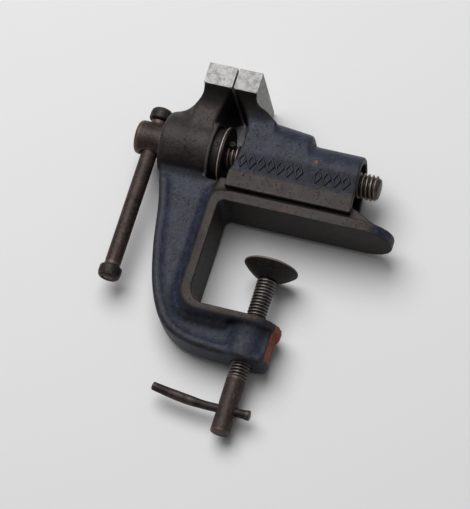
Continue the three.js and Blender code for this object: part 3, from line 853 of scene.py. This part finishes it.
def slide_softness(p):
    """Rough-cast but for the jaw, the milled strip along the foot, both ends and the inside."""
    x, y, z = p.T
    jaw = ramp(z, 52.5, 55)
    strip = 1 - ramp(z, STRIP_TOP + 0.3, STRIP_TOP + 1.6)
    ends = ramp(x, SLIDE_HIGH[0] - 4, SLIDE_HIGH[0] - 2.5) * (1 - ramp(z, 45, 47))
    front = (1 - ramp(x, SLIDE_LOW[0] + 12, SLIDE_LOW[0] + 13.5)) * (1 - ramp(z, 36, 40))
    inside = 1 - ramp(np.hypot(y, (z - SCREW_Z)), 10.6, 12.0)
    crisp = np.max([jaw * 1.07, strip, ends * 0.8, front * 0.6, inside * 0.8], axis=0)
    return 1 - 0.92 * crisp


def store_frame_wear(mesh):
    """Marks where the frame casting is bare, ground and rusted, where shade is painted on it and where a
    highlight is painted on the boss's rear rim.
    """
    p = coordinates(mesh) / MM
    n = normals(mesh)
    x, y, z = p.T
    store_wear(mesh, 14, 0.16)
    round_screw = np.hypot(y, z - SCREW_Z)
    boss = ramp(z, 12.5, 15.5) * (1 - ramp(x, BOSS_REAR + 1, BOSS_REAR + 3))
    neck = ramp(z, 41, 45)
    edge_band = ramp(np.abs(y), 12.6, 13.6) * (1 - ramp(z, 5.0, 6.5))
    inside = ramp(n[:, 0], 0.55, 0.85) * (1 - ramp(x, -30, -27)) * (1 - ramp(z, 2, 5))
    under = ramp(-n[:, 2], 0.6, 0.9) * ramp(x, -31, -27) * ramp(z, -2, -0.8)
    top = ramp(n[:, 2], 0.7, 0.9) * (1 - ramp(np.abs(z - ARM_TOP), 0.8, 1.6))
    rail = ramp(x, -40, -36) * ramp(z, 4, 5.1)
    worn = np.max([boss, neck, edge_band, inside * 0.9, under, top * 0.9, rail], axis=0)
    store(mesh, "worn", worn)
    sides = ramp(z, JAW_BAND_LOW - 0.2, JAW_BAND_LOW + 0.35)
    store(mesh, "ground", sides * (1 - 0.55 * ramp(-n[:, 0], 0.6, 0.9)))
    flat_end = ramp(x, 10.6, 11.6) * (1 - ramp(np.abs(y), 6.2, 7.6)) * (1 - ramp(z, -53.6, -53.0))
    store(mesh, "rust", flat_end * ramp(z, -72.0, -70.4))
    # Painted shade where shade falls: the boss's cavity, the flaring necks under the jaws, the boss's
    # underside and the arm's web under its top flange.
    cavity_shade = (1 - ramp(round_screw, 13.0, 13.6)) * ramp(x, -52, -50) * (1 - ramp(x, -43.6, -42.6))
    flare = ramp(z, 43.0, 49) * (1 - sides) * 0.85
    belly_shade = ramp(SCREW_Z - z, 7, 14) * (1 - ramp(round_screw, 17.5, 21))
    belly_shade *= (1 - ramp(x, BOSS_REAR, BOSS_REAR + 5)) * 0.85
    shade = ramp(z, ARM_TOP - 14, ARM_TOP - 5) * (1 - ramp(z, ARM_TOP - 4.2, ARM_TOP - 3)) * ramp(x, -42, -34)
    shade *= (1 - ramp(np.abs(y), 10.5, 12.5)) * 0.8
    # Painted shade under the plate and on the column's inner face.
    dull = np.maximum(under * 0.35, inside * 0.3)
    painted_shade = np.max([stored(mesh, "painted_shade"), cavity_shade, flare, belly_shade, shade, dull], axis=0)
    store(mesh, "painted_shade", painted_shade)
    # Painted highlight: a lighter line along the boss's rear rim.
    painted_rim_highlight = ramp(n[:, 0], 0.35, 0.5) * (1 - ramp(n[:, 0], 0.80, 0.92)) * ramp(round_screw, 13.8, 14.4)
    painted_rim_highlight *= (1 - ramp(round_screw, 16.4, 17.2)) * ramp(x, BOSS_REAR - 2.5, BOSS_REAR - 1.6)
    painted_rim_highlight *= (1 - ramp(x, BOSS_REAR, BOSS_REAR + 0.6)) * (1 - ramp(z, 38, 42))
    store(mesh, "painted_rim_highlight", painted_rim_highlight)


def store_slide_wear(mesh):
    """Marks where the sliding jaw is bare, ground and spotted with rust, and where shade is painted on it."""
    p = coordinates(mesh) / MM
    n = normals(mesh)
    x, y, z = p.T
    store_wear(mesh, 14, 0.16)
    strip = 1 - ramp(z, STRIP_TOP - 0.1, STRIP_TOP + 0.5)
    neck = ramp(z, 46, 50) * (1 - ramp(z, 54, 55)) * (1 - ramp(n[:, 0], 0.2, 0.6))
    front = ramp(-n[:, 0], 0.5, 0.8)
    store(mesh, "worn", np.max([strip, neck, front * 0.8], axis=0))
    sides = ramp(z, JAW_BAND_LOW - 0.2, JAW_BAND_LOW + 0.35)
    rear = ramp(n[:, 0], 0.75, 0.92) * ramp(z, 50.4, 51.6)
    store(mesh, "ground", np.maximum(sides * (1 - 0.30 * ramp(n[:, 0], 0.6, 0.9)), rear * 0.55))
    spot = 1 - ramp(np.hypot(np.hypot(x - 8.5, (y + 13.5) * 0.5), z - 29.5), 0.6, 1.1)
    store(mesh, "rust", spot * 1.2)
    inner = 1 - ramp(np.hypot(y, np.maximum(z - SCREW_Z, 0)), 10.6, 11.6)
    # Painted shade under the jaw's flaring neck.
    flare = ramp(z, 41.5, 46.5) * (1 - ramp(x, -22, -16)) * (1 - sides) * (1 - ramp(n[:, 0], 0.5, 0.8)) * 0.92
    # Painted shade inside the bore, lighter towards its rear end.
    bore = inner * (0.5 + 0.5 * (1 - ramp(x, 26, 31)))
    # A darker band along the lettering, partly grime and partly painted shade.
    band = ramp(z, STRIP_TOP, STRIP_TOP + 1.5) * (1 - ramp(z, STRIP_TOP + 9.5, STRIP_TOP + 12.5))
    band *= ramp(np.abs(n[:, 1]), 0.6, 0.9) * ramp(x, -30, -21) * 0.5
    store(mesh, "painted_shade", np.max([stored(mesh, "painted_shade"), flare, bore, band], axis=0))


class VISE_OT_frame_casting(bpy.types.Operator):
    """Skins and finishes the C-frame casting with the front jaw"""

    bl_idname = "vise.frame_casting"
    bl_label = "Frame casting"

    def execute(self, context):
        obj = skinned_casting("frame_casting", frame_softness, "cast_frame")
        square_jaw(obj.data, JAW_FACE_X, JAW_FACE_X - FRONT_JAW_THICKNESS)
        store_frame_wear(obj.data)
        finish_piece(obj, "frame", casting_finish(), ["frame_casting"], 60)
        return {"FINISHED"}


class VISE_OT_sliding_jaw(bpy.types.Operator):
    """Skins and finishes the sliding rear jaw"""

    bl_idname = "vise.sliding_jaw"
    bl_label = "Sliding jaw"

    def execute(self, context):
        obj = skinned_casting("sliding_jaw", slide_softness, "cast_sliding_jaw")
        square_jaw(obj.data, SLIDE_LOW[0], SLIDE_LOW[0] + REAR_JAW_THICKNESS)
        store_slide_wear(obj.data)
        finish_piece(obj, "jaw", casting_finish(), ["sliding_jaw"], 60)
        return {"FINISHED"}


class VISE_OT_ornament(bpy.types.Operator):
    """Sets the raised rows of lozenges on both sides of the slide"""

    bl_idname = "vise.ornament"
    bl_label = "Raised ornament"

    def execute(self, context):
        s = settings()
        tree = ornament_rule()
        places, left_out = 12.0, 7.0
        spacing = 4.72 * MM
        wall = SLIDE_HALF - 0.4
        values = {"Count": places, "Gap": left_out, "Spacing": spacing, "Width": 3.6 * MM}
        values.update({"Height": s.ornament_height, "Stroke": s.ornament_stroke})
        row = run_rule(tree, "lozenges", casting_finish(), values)
        near = row.copy()
        side = (wall + 0.05) * MM
        start = (SLIDE_LOW[0] + 12.8) * MM
        height = (STRIP_TOP + 6.0) * MM
        near.transform(Matrix.Translation((start, -side, height)))
        far_start = Matrix.Translation((start + (places - 1) * spacing, side, height))
        row.transform(far_start @ Matrix.Rotation(math.pi, 4, "Z"))
        mesh = joined("raised_ornament", near, row)
        tidy(mesh, 1e-7)
        obj = keep_object("raised_ornament", mesh)
        out = np.abs(coordinates(mesh)[:, 1]) / MM - wall
        # The stroke tops are rubbed lighter, which also paints a highlight on them.
        store(mesh, "edge", ramp(out, 0.62, 0.82) * 0.75)
        # Painted shade round the foot of each stroke.
        store(mesh, "painted_shade", 1 - ramp(out, 0.40, 0.78) * 0.9)
        for name in ("worn", "ground", "rust"):
            store(mesh, name, np.zeros(len(mesh.vertices)))
        finish_piece(obj, "jaw", casting_finish(), (), 50)
        return {"FINISHED"}


# ---------------------------------------------------------------- main screw


class VISE_OT_main_screw(bpy.types.Operator):
    """Turns the main screw, with its drilled head and its thread"""

    bl_idname = "vise.main_screw"
    bl_label = "Main screw"

    def execute(self, context):
        s = settings()
        front, rear = SCREW_LOW[0], BOSS_FRONT - 0.3
        thread_start = WASHER_HIGH[0] - 1.0
        profile = softened([(0, front), (HEAD_R, front), (HEAD_R, rear)], 2.3, steps=7)[:-1]
        profile += softened([(HEAD_R, rear - 4), (HEAD_R, rear), (MAIN_R, rear)], 0.7)[1:]
        profile += [(MAIN_R, thread_start + 1), (0, thread_start + 1)]
        points, faces = turned(fine(profile, 1.2), 72)
        head = mesh_from("screw_head", along_x(points, SCREW_Z), faces)
        drill_points, drill_faces = countersunk_drill(BAR_R + 0.4, HEAD_R + 6, HEAD_R - 0.4)
        drill = mesh_from("bar_hole", drill_points + [BAR_X, 0, SCREW_Z], drill_faces)
        head = drilled(head, drill)
        length = SCREW_HIGH[0] - thread_start
        pitch = s.main_pitch / MM
        thread = thread_mesh("thread", MAIN_R, length, pitch, pitch * 0.56, 1.7, main_thread_finish())
        middle = (SCREW_HIGH[0] + thread_start) / 2
        turn = Matrix.Rotation(math.pi / 2, 4, "Y")
        thread.transform(Matrix.Translation((middle * MM, 0, SCREW_Z * MM)) @ turn)
        store_wear(thread, 3, 0.10)
        store_wear(head, 3, 0.08)
        obj = keep_object("turned_main_screw", head)
        finish_piece(obj, "screw", bar_finish(), ["main_screw"], 40)
        rod = keep_object("main_screw_thread", thread)
        finish_piece(rod, "screw", main_thread_finish(), (), 60)
        return {"FINISHED"}


class VISE_OT_thrust_parts(bpy.types.Operator):
    """Turns the collar, the washer and their pins"""

    bl_idname = "vise.thrust_parts"
    bl_label = "Collar, washer and pins"

    def execute(self, context):
        collar_r = (COLLAR_HIGH[2] - COLLAR_LOW[2]) / 2
        washer_r = (WASHER_HIGH[2] - WASHER_LOW[2]) / 2
        bore = MAIN_R + 0.2
        profile = ring_profile(bore, collar_r, COLLAR_LOW[0], COLLAR_HIGH[0], 0.6)
        collar = keep_object("turned_collar", turned_mesh("turned_collar", profile, "X", z=SCREW_Z))
        store_wear(collar.data, 3, 0.08)
        # Painted shade: the whole collar is darkened, as it sits in shade inside the boss.
        store(collar.data, "painted_shade", np.full(len(collar.data.vertices), 0.95))
        finish_piece(collar, "screw", dark_finish(), ["thrust_collar"])
        profile = ring_profile(bore, washer_r, WASHER_LOW[0], WASHER_HIGH[0], 0.5)
        washer = keep_object("turned_washer", turned_mesh("turned_washer", profile, "X", z=SCREW_Z, step=0.8))
        store_wear(washer.data, 3, 0.08)
        # Painted shade over the whole washer, and a painted highlight along its outer edge on the front face.
        p = coordinates(washer.data) / MM
        out = np.hypot(p[:, 1], p[:, 2] - SCREW_Z)
        arc = 1 - ramp(p[:, 0], WASHER_LOW[0] + 0.35, WASHER_LOW[0] + 0.6)
        store(washer.data, "painted_shade", np.full(len(p), 0.9))
        store(washer.data, "painted_rim_highlight", ramp(out, washer_r - 0.6, washer_r - 0.3) * arc * 1.2)
        finish_piece(washer, "screw", rubbed_finish(), ["retaining_washer"])
        for node, radius, tilt in (("collar_pin", 1.5, 0), ("washer_pin", 1.7, 26)):
            self.pin(node, radius, tilt)
        return {"FINISHED"}

    def pin(self, node, radius, tilt):
        """A pin with dished ends, leaning by `tilt` degrees in its drilled hole."""
        low, high = box_mm(node)
        middle = (low + high) / 2
        half = (high[1] - low[1]) / 2
        half = (half - radius * math.sin(math.radians(tilt))) / math.cos(math.radians(tilt))
        profile = [(0, -half), (radius, -half), (radius, half), (0, half)]
        dish = softened(profile, 0.35)
        dish[0] = (0, -half + 0.45)
        dish[-1] = (0, half - 0.45)
        points, faces = turned(fine(dish, 0.5), 28)
        mesh = mesh_from("peened_" + node, points, faces)
        lean = Matrix.Rotation(math.pi / 2 - math.radians(tilt), 4, "X")
        mesh.transform(Matrix.Translation(Vector(middle) * MM) @ lean)
        obj = keep_object("peened_" + node, mesh)
        store_wear(mesh, 3, 0.06)
        finish_piece(obj, "screw", rubbed_finish(), [node])


class VISE_OT_main_nut(bpy.types.Operator):
    """Finishes the nut block in the slide and its pin"""

    bl_idname = "vise.main_nut"
    bl_label = "Nut and pin"

    def execute(self, context):
        for node, name in (("main_nut", "nut_block"), ("nut_pin", "nut_rivet")):
            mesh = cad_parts[node].data.copy()
            tidy(mesh, 1e-6)
            obj = keep_object(name, mesh)
            edge = obj.modifiers.new("edge", "BEVEL")
            edge.limit_method = "ANGLE"
            edge.angle_limit = math.radians(40)
            edge.width = 0.3 * MM
            edge.segments = 2
            applied(obj)
            store_wear(obj.data, 2, 0.06)
            finish_piece(obj, "jaw", dark_finish(), [node])
        return {"FINISHED"}


# ---------------------------------------------------------------- handle


class VISE_OT_handle(bpy.types.Operator):
    """Turns the sliding handle bar and its two knobs"""

    bl_idname = "vise.handle"
    bl_label = "Handle"

    def execute(self, context):
        low, high = BAR_LOW[2], BAR_HIGH[2]
        knob_low, knob_high = box_mm("handle_knob_upper")
        length = knob_high[2] - knob_low[2]
        spigot = BAR_R - 1.4
        shoulder = length + 0.3
        profile = [(0, low + 0.4), (spigot - 0.6, low + 0.1), (spigot, low + 0.6), (spigot, low + shoulder)]
        profile += [(BAR_R - 0.3, low + shoulder), (BAR_R, low + shoulder + 0.3)]
        profile += [(BAR_R, high - shoulder - 0.3), (BAR_R - 0.3, high - shoulder), (spigot, high - shoulder)]
        profile += [(spigot, high - 0.6), (spigot - 0.6, high - 0.1), (0, high - 0.4)]
        mesh = turned_mesh("handle_rod", profile, x=BAR_X, segments=48, step=1.0)
        obj = keep_object("handle_rod", mesh)
        store_wear(mesh, 3, 0.08)
        finish_piece(obj, "handle", bar_finish(), ["handle_bar"])
        for node, name in (("handle_knob_upper", "upper_knob"), ("handle_knob_lower", "lower_knob")):
            self.knob(node, name, spigot)
        return {"FINISHED"}

    def knob(self, node, name, spigot):
        low, high = box_mm(node)
        radius = (high[0] - low[0]) / 2
        height = high[2] - low[2]
        bore = spigot + 0.12
        profile = [(bore, 0.35), (bore + 0.5, 0), (radius - 0.5, 0), (radius - 0.06, 0.6), (radius, 2.0)]
        profile += [(radius, height - 2.6), (radius - 0.35, height - 1.0), (radius - 1.3, height - 0.15)]
        profile += [(radius - 2.0, height), (bore + 0.7, height), (bore, height - 0.5)]
        profile = softened(profile, 0.8, closed=True, steps=3)
        if node.endswith("lower"):
            profile = [(r, high[2] - h) for r, h in profile]
        else:
            profile = [(r, low[2] + h) for r, h in profile]
        mesh = turned_mesh(name, profile, x=BAR_X, segments=56, step=0.6)
        obj = keep_object(name, mesh)
        store_wear(mesh, 3, 0.07)
        finish_piece(obj, "handle", knob_finish(), [node], 50)


# ---------------------------------------------------------------- table clamp


class VISE_OT_clamp_screw(bpy.types.Operator):
    """Turns the table clamp screw, with its thread, drilled shank and riveted tip"""

    bl_idname = "vise.clamp_screw"
    bl_label = "Clamp screw"

    def execute(self, context):
        s = settings()
        bottom, top = CLAMP_LOW[2], CLAMP_HIGH[2]
        shoulder = PAD_LOW[2] - 0.3
        shank_length = 28.0
        thread_end = bottom + shank_length
        bar_z = box_mm("clamp_bar")[0][2] + CLAMP_BAR_END_R
        shank_top = thread_end + 0.6
        profile = softened([(0, bottom), (CLAMP_R, bottom), (CLAMP_R, shank_top), (0, shank_top)], 0.9)
        points, faces = turned(fine(profile, 1.2), 56)
        shank = mesh_from("clamp_shank", points, faces)
        hole_r = 2.5
        drill_points, drill_faces = countersunk_drill(hole_r, CLAMP_R + 4, CLAMP_R - 0.3, 0.4)
        drill = mesh_from("cross_hole", along_x(drill_points, bar_z), drill_faces)
        shank = drilled(shank, drill)
        pitch = s.clamp_pitch / MM
        length = shoulder - thread_end
        thread = thread_mesh("clamp_thread", CLAMP_R, length, pitch, pitch * 0.58, 0.5, thread_finish())
        thread.transform(Matrix.Translation((0, 0, (shoulder + thread_end) / 2 * MM)))
        head_r = 5.0
        seat = top - 1.2
        neck_r, neck_foot = 3.0, shoulder - 0.4
        tip = [(0, neck_foot), (neck_r, neck_foot), (neck_r, seat), (head_r, seat)]
        tip = softened([*tip, (head_r - 0.3, top - 0.45), (0, top)], 0.5)
        points, faces = turned(fine(tip, 0.8), 48)
        rivet = mesh_from("clamp_tip", points, faces)
        whole = joined("turned_clamp_screw", shank, rivet)
        store_wear(whole, 3, 0.08)
        store_wear(thread, 3, 0.09)
        obj = keep_object("turned_clamp_screw", whole)
        finish_piece(obj, "clamp", bar_finish(), ["clamp_screw"], 40)
        rod = keep_object("clamp_screw_thread", thread)
        finish_piece(rod, "clamp", thread_finish(), (), 60)
        return {"FINISHED"}


class VISE_OT_clamp_pad(bpy.types.Operator):
    """Turns the dished swivel pad"""

    bl_idname = "vise.clamp_pad"
    bl_label = "Clamp pad"

    def execute(self, context):
        low, high = PAD_LOW[2], PAD_HIGH[2]
        radius = (PAD_HIGH[0] - PAD_LOW[0]) / 2
        profile = [(3.3, low), (5.1, low), (6.3, low + 0.75), (radius * 0.62, low + 1.9)]
        profile += [(radius * 0.82, low + 3.9), (radius - 0.75, high - 1.75), (radius, high - 1.15)]
        profile += [(radius, high - 0.35), (radius - 0.5, high)]
        profile += [(5.6, high), (5.6, high - 1.8), (3.3, high - 1.8)]
        profile = softened(profile, 0.5, closed=True)
        mesh = turned_mesh("dished_pad", profile, segments=96, step=0.7)
        obj = keep_object("dished_pad", mesh)
        store_wear(mesh, 3, 0.05)
        p = coordinates(mesh) / MM
        out = np.hypot(p[:, 0], p[:, 1])
        # A painted highlight along the top rim.
        store(mesh, "painted_rim_highlight", ramp(out, radius - 1.2, radius - 0.5) * ramp(p[:, 2], high - 1.3, high - 0.5))
        finish_piece(obj, "pad", dark_finish(), ["clamp_pad"], 50)
        return {"FINISHED"}


class VISE_OT_clamp_bar(bpy.types.Operator):
    """Bends the clamp screw's small bar"""

    bl_idname = "vise.clamp_bar"
    bl_label = "Clamp bar"

    def execute(self, context):
        low, high = box_mm("clamp_bar")
        radius, end_radius = CLAMP_BAR_R, CLAMP_BAR_END_R
        axis_z = low[2] + end_radius
        rise, bend = 3.4, -9.0
        left = low[0] + 0.35
        stations, radii = [], []
        for x in np.arange(left, high[0] + 1e-6, 0.9):
            along = max(0.0, (bend - x) / (bend - left))
            stations.append((x, 0.0, axis_z + rise * along**1.6))
            flare = ramp(np.array(x), high[0] - 4, high[0] - 0.8)
            swell = ramp(np.array(-x), 11.5, 19) * (1 - ramp(np.array(-x), 24, 37))
            radii.append(radius + (end_radius - radius) * float(max(flare, swell * 0.8)))
        stations.append((high[0], 0.0, axis_z))
        radii.append(end_radius)
        points, faces = self.swept(np.array(stations), np.array(radii), 28)
        points[:, 2] = np.clip(points[:, 2], low[2], high[2])
        mesh = mesh_from("bent_bar", points, faces)
        obj = keep_object("bent_bar", mesh)
        store_wear(mesh, 3, 0.08)
        finish_piece(obj, "clamp_handle", knob_finish(), ["clamp_bar"])
        return {"FINISHED"}

    def swept(self, centres, radii, sides):
        """A rod round a line in the X-Z plane, its ends rounded over."""
        along = np.gradient(centres, axis=0)
        along /= np.linalg.norm(along, axis=1)[:, None]
        first, last = centres[0], centres[-1]
        start, end = along[0], along[-1]
        rows = [(first, radii[0] - 0.55, start), (first + start * 0.18, radii[0] - 0.16, start)]
        rows += [(first + start * 0.5, radii[0], start), *zip(centres[1:-1], radii[1:-1], along[1:-1])]
        rows += [(last - end * 0.55, radii[-1], end), (last - end * 0.18, radii[-1] - 0.16, end)]
        rows += [(last, radii[-1] - 0.55, end)]
        points, faces = [], []
        side = np.array([0.0, 1.0, 0.0])
        for centre, radius, direction in rows:
            up = np.cross(direction, side)
            for i in range(sides):
                angle = 2 * math.pi * i / sides
                points.append(centre + radius * (math.cos(angle) * side + math.sin(angle) * up))
        for row in range(len(rows) - 1):
            for i in range(sides):
                j = (i + 1) % sides
                a, b = row * sides, (row + 1) * sides
                faces.append((a + i, a + j, b + j, b + i))
        faces.append(tuple(range(sides)))
        faces.append(tuple((len(rows) - 1) * sides + i for i in range(sides)))
        return np.array(points), faces


# ---------------------------------------------------------------- stage


class VISE_OT_stage(bpy.types.Operator):
    """Lays the vise on a pale floor under soft studio light and sets the camera"""

    bl_idname = "vise.stage"
    bl_label = "Stage"

    def execute(self, context):
        scene = context.scene
        scene.view_settings.view_transform = "Standard"
        azimuth, elevation, roll = [math.radians(a) for a in (AZIMUTH, ELEVATION, ROLL)]
        ahead = math.cos(elevation)
        back = Vector((math.sin(azimuth) * ahead, -math.cos(azimuth) * ahead, math.sin(elevation)))
        level = Vector((math.cos(azimuth), math.sin(azimuth), 0))
        upright = back.cross(level)
        right = level * math.cos(roll) + upright * math.sin(roll)
        up = upright * math.cos(roll) - level * math.sin(roll)
        camera = bpy.data.cameras.new("camera")
        camera.lens = LENS
        camera.sensor_width = 36
        camera.clip_start = 0.05
        camera.clip_end = 20
        eye = bpy.data.objects.new("camera", camera)
        turn = Matrix((right, up, back)).transposed()
        eye.matrix_world = Matrix.Translation(VIEW_CENTRE + back * VIEW_DISTANCE) @ turn.to_4x4()
        context.collection.objects.link(eye)
        scene.camera = eye

        self.floor()
        for name, (across, above, forward), size, power in LIGHTS:
            self.light(name, across * right + above * up + forward * back, size, power)

        world = bpy.data.worlds.new("studio")
        world.use_nodes = True
        graph = Graph(world.node_tree)
        sky = graph.node("ShaderNodeBackground", None, {"Color": (1, 1, 1, 1), "Strength": 0.15})
        graph.node("ShaderNodeOutputWorld", None, {"Surface": sky.outputs[0]})
        scene.world = world
        return {"FINISHED"}

    def floor(self):
        """The floor is behind the vise, which lies on its jaws and its arm; from behind it isn't seen."""
        at_jaws, at_arm = (JAW_BAND_LOW, JAW_HALF + 0.2), (CASTING_LOW[2], ARM_SIDE + 0.4)
        lean = (at_jaws[1] - at_arm[1]) / (at_jaws[0] - at_arm[0])
        reach = FLOOR_REACH
        low, high = [at_jaws[1] + lean * (z - at_jaws[0]) for z in (-reach, reach)]
        corners = [(-reach, low, -reach), (reach, low, -reach), (reach, high, reach), (-reach, high, reach)]
        mesh = bpy.data.meshes.new("floor")
        mesh.from_pydata([tuple(c * MM for c in corner) for corner in corners], [], [(0, 1, 2, 3)])
        obj = keep_object("floor", mesh)
        f = Finish("pale_floor")
        shader = f.node("ShaderNodeBsdfDiffuse", None, {"Color": (*settings().backdrop, 1.0)})
        clear = f.node("ShaderNodeBsdfTransparent")
        back = f.node("ShaderNodeNewGeometry").outputs["Backfacing"]
        side = f.node("ShaderNodeMixShader", None, {0: back, 1: shader.outputs[0], 2: clear.outputs[0]})
        f.node("ShaderNodeOutputMaterial", None, {"Surface": side.outputs[0]})
        mesh.materials.append(f.material)
        obj.visible_shadow = False

    def light(self, name, offset, size, power):
        """A round lamp at an offset from the view's centre, turned towards it."""
        lamp = bpy.data.lights.new(name, "AREA")
        lamp.shape = "DISK"
        lamp.size = size
        lamp.energy = power
        obj = bpy.data.objects.new(name, lamp)
        obj.location = VIEW_CENTRE + offset
        obj.rotation_mode = "QUATERNION"
        obj.rotation_quaternion = (-offset).to_track_quat("-Z", "Y")
        bpy.context.collection.objects.link(obj)


# ---------------------------------------------------------------- panel and registration

STEPS = (
    VISE_OT_frame_casting,
    VISE_OT_sliding_jaw,
    VISE_OT_ornament,
    VISE_OT_main_screw,
    VISE_OT_thrust_parts,
    VISE_OT_main_nut,
    VISE_OT_handle,
    VISE_OT_clamp_screw,
    VISE_OT_clamp_pad,
    VISE_OT_clamp_bar,
    VISE_OT_stage,
)


class VISE_PT_build(bpy.types.Panel):
    """Lists the vise's pieces and settings"""

    bl_label = "Bench vise"
    bl_idname = "VISE_PT_build"
    bl_space_type = "VIEW_3D"
    bl_region_type = "UI"
    bl_category = "Vise"

    def draw(self, context):
        column = self.layout.column()
        for name in ViseSettings.__annotations__:
            column.prop(settings(), name)
        for step in STEPS:
            column.operator(step.bl_idname)


def register():
    bpy.utils.register_class(ViseSettings)
    for step in STEPS:
        bpy.utils.register_class(step)
    bpy.utils.register_class(VISE_PT_build)
    bpy.types.Scene.vise_settings = bpy.props.PointerProperty(type=ViseSettings)


def unregister():
    del bpy.types.Scene.vise_settings
    bpy.utils.unregister_class(VISE_PT_build)
    for step in reversed(STEPS):
        bpy.utils.unregister_class(step)
    bpy.utils.unregister_class(ViseSettings)


def main():
    register()
    for step in STEPS:
        group, name = step.bl_idname.split(".")
        getattr(getattr(bpy.ops, group), name)()


if __name__ == "__main__":
    main()
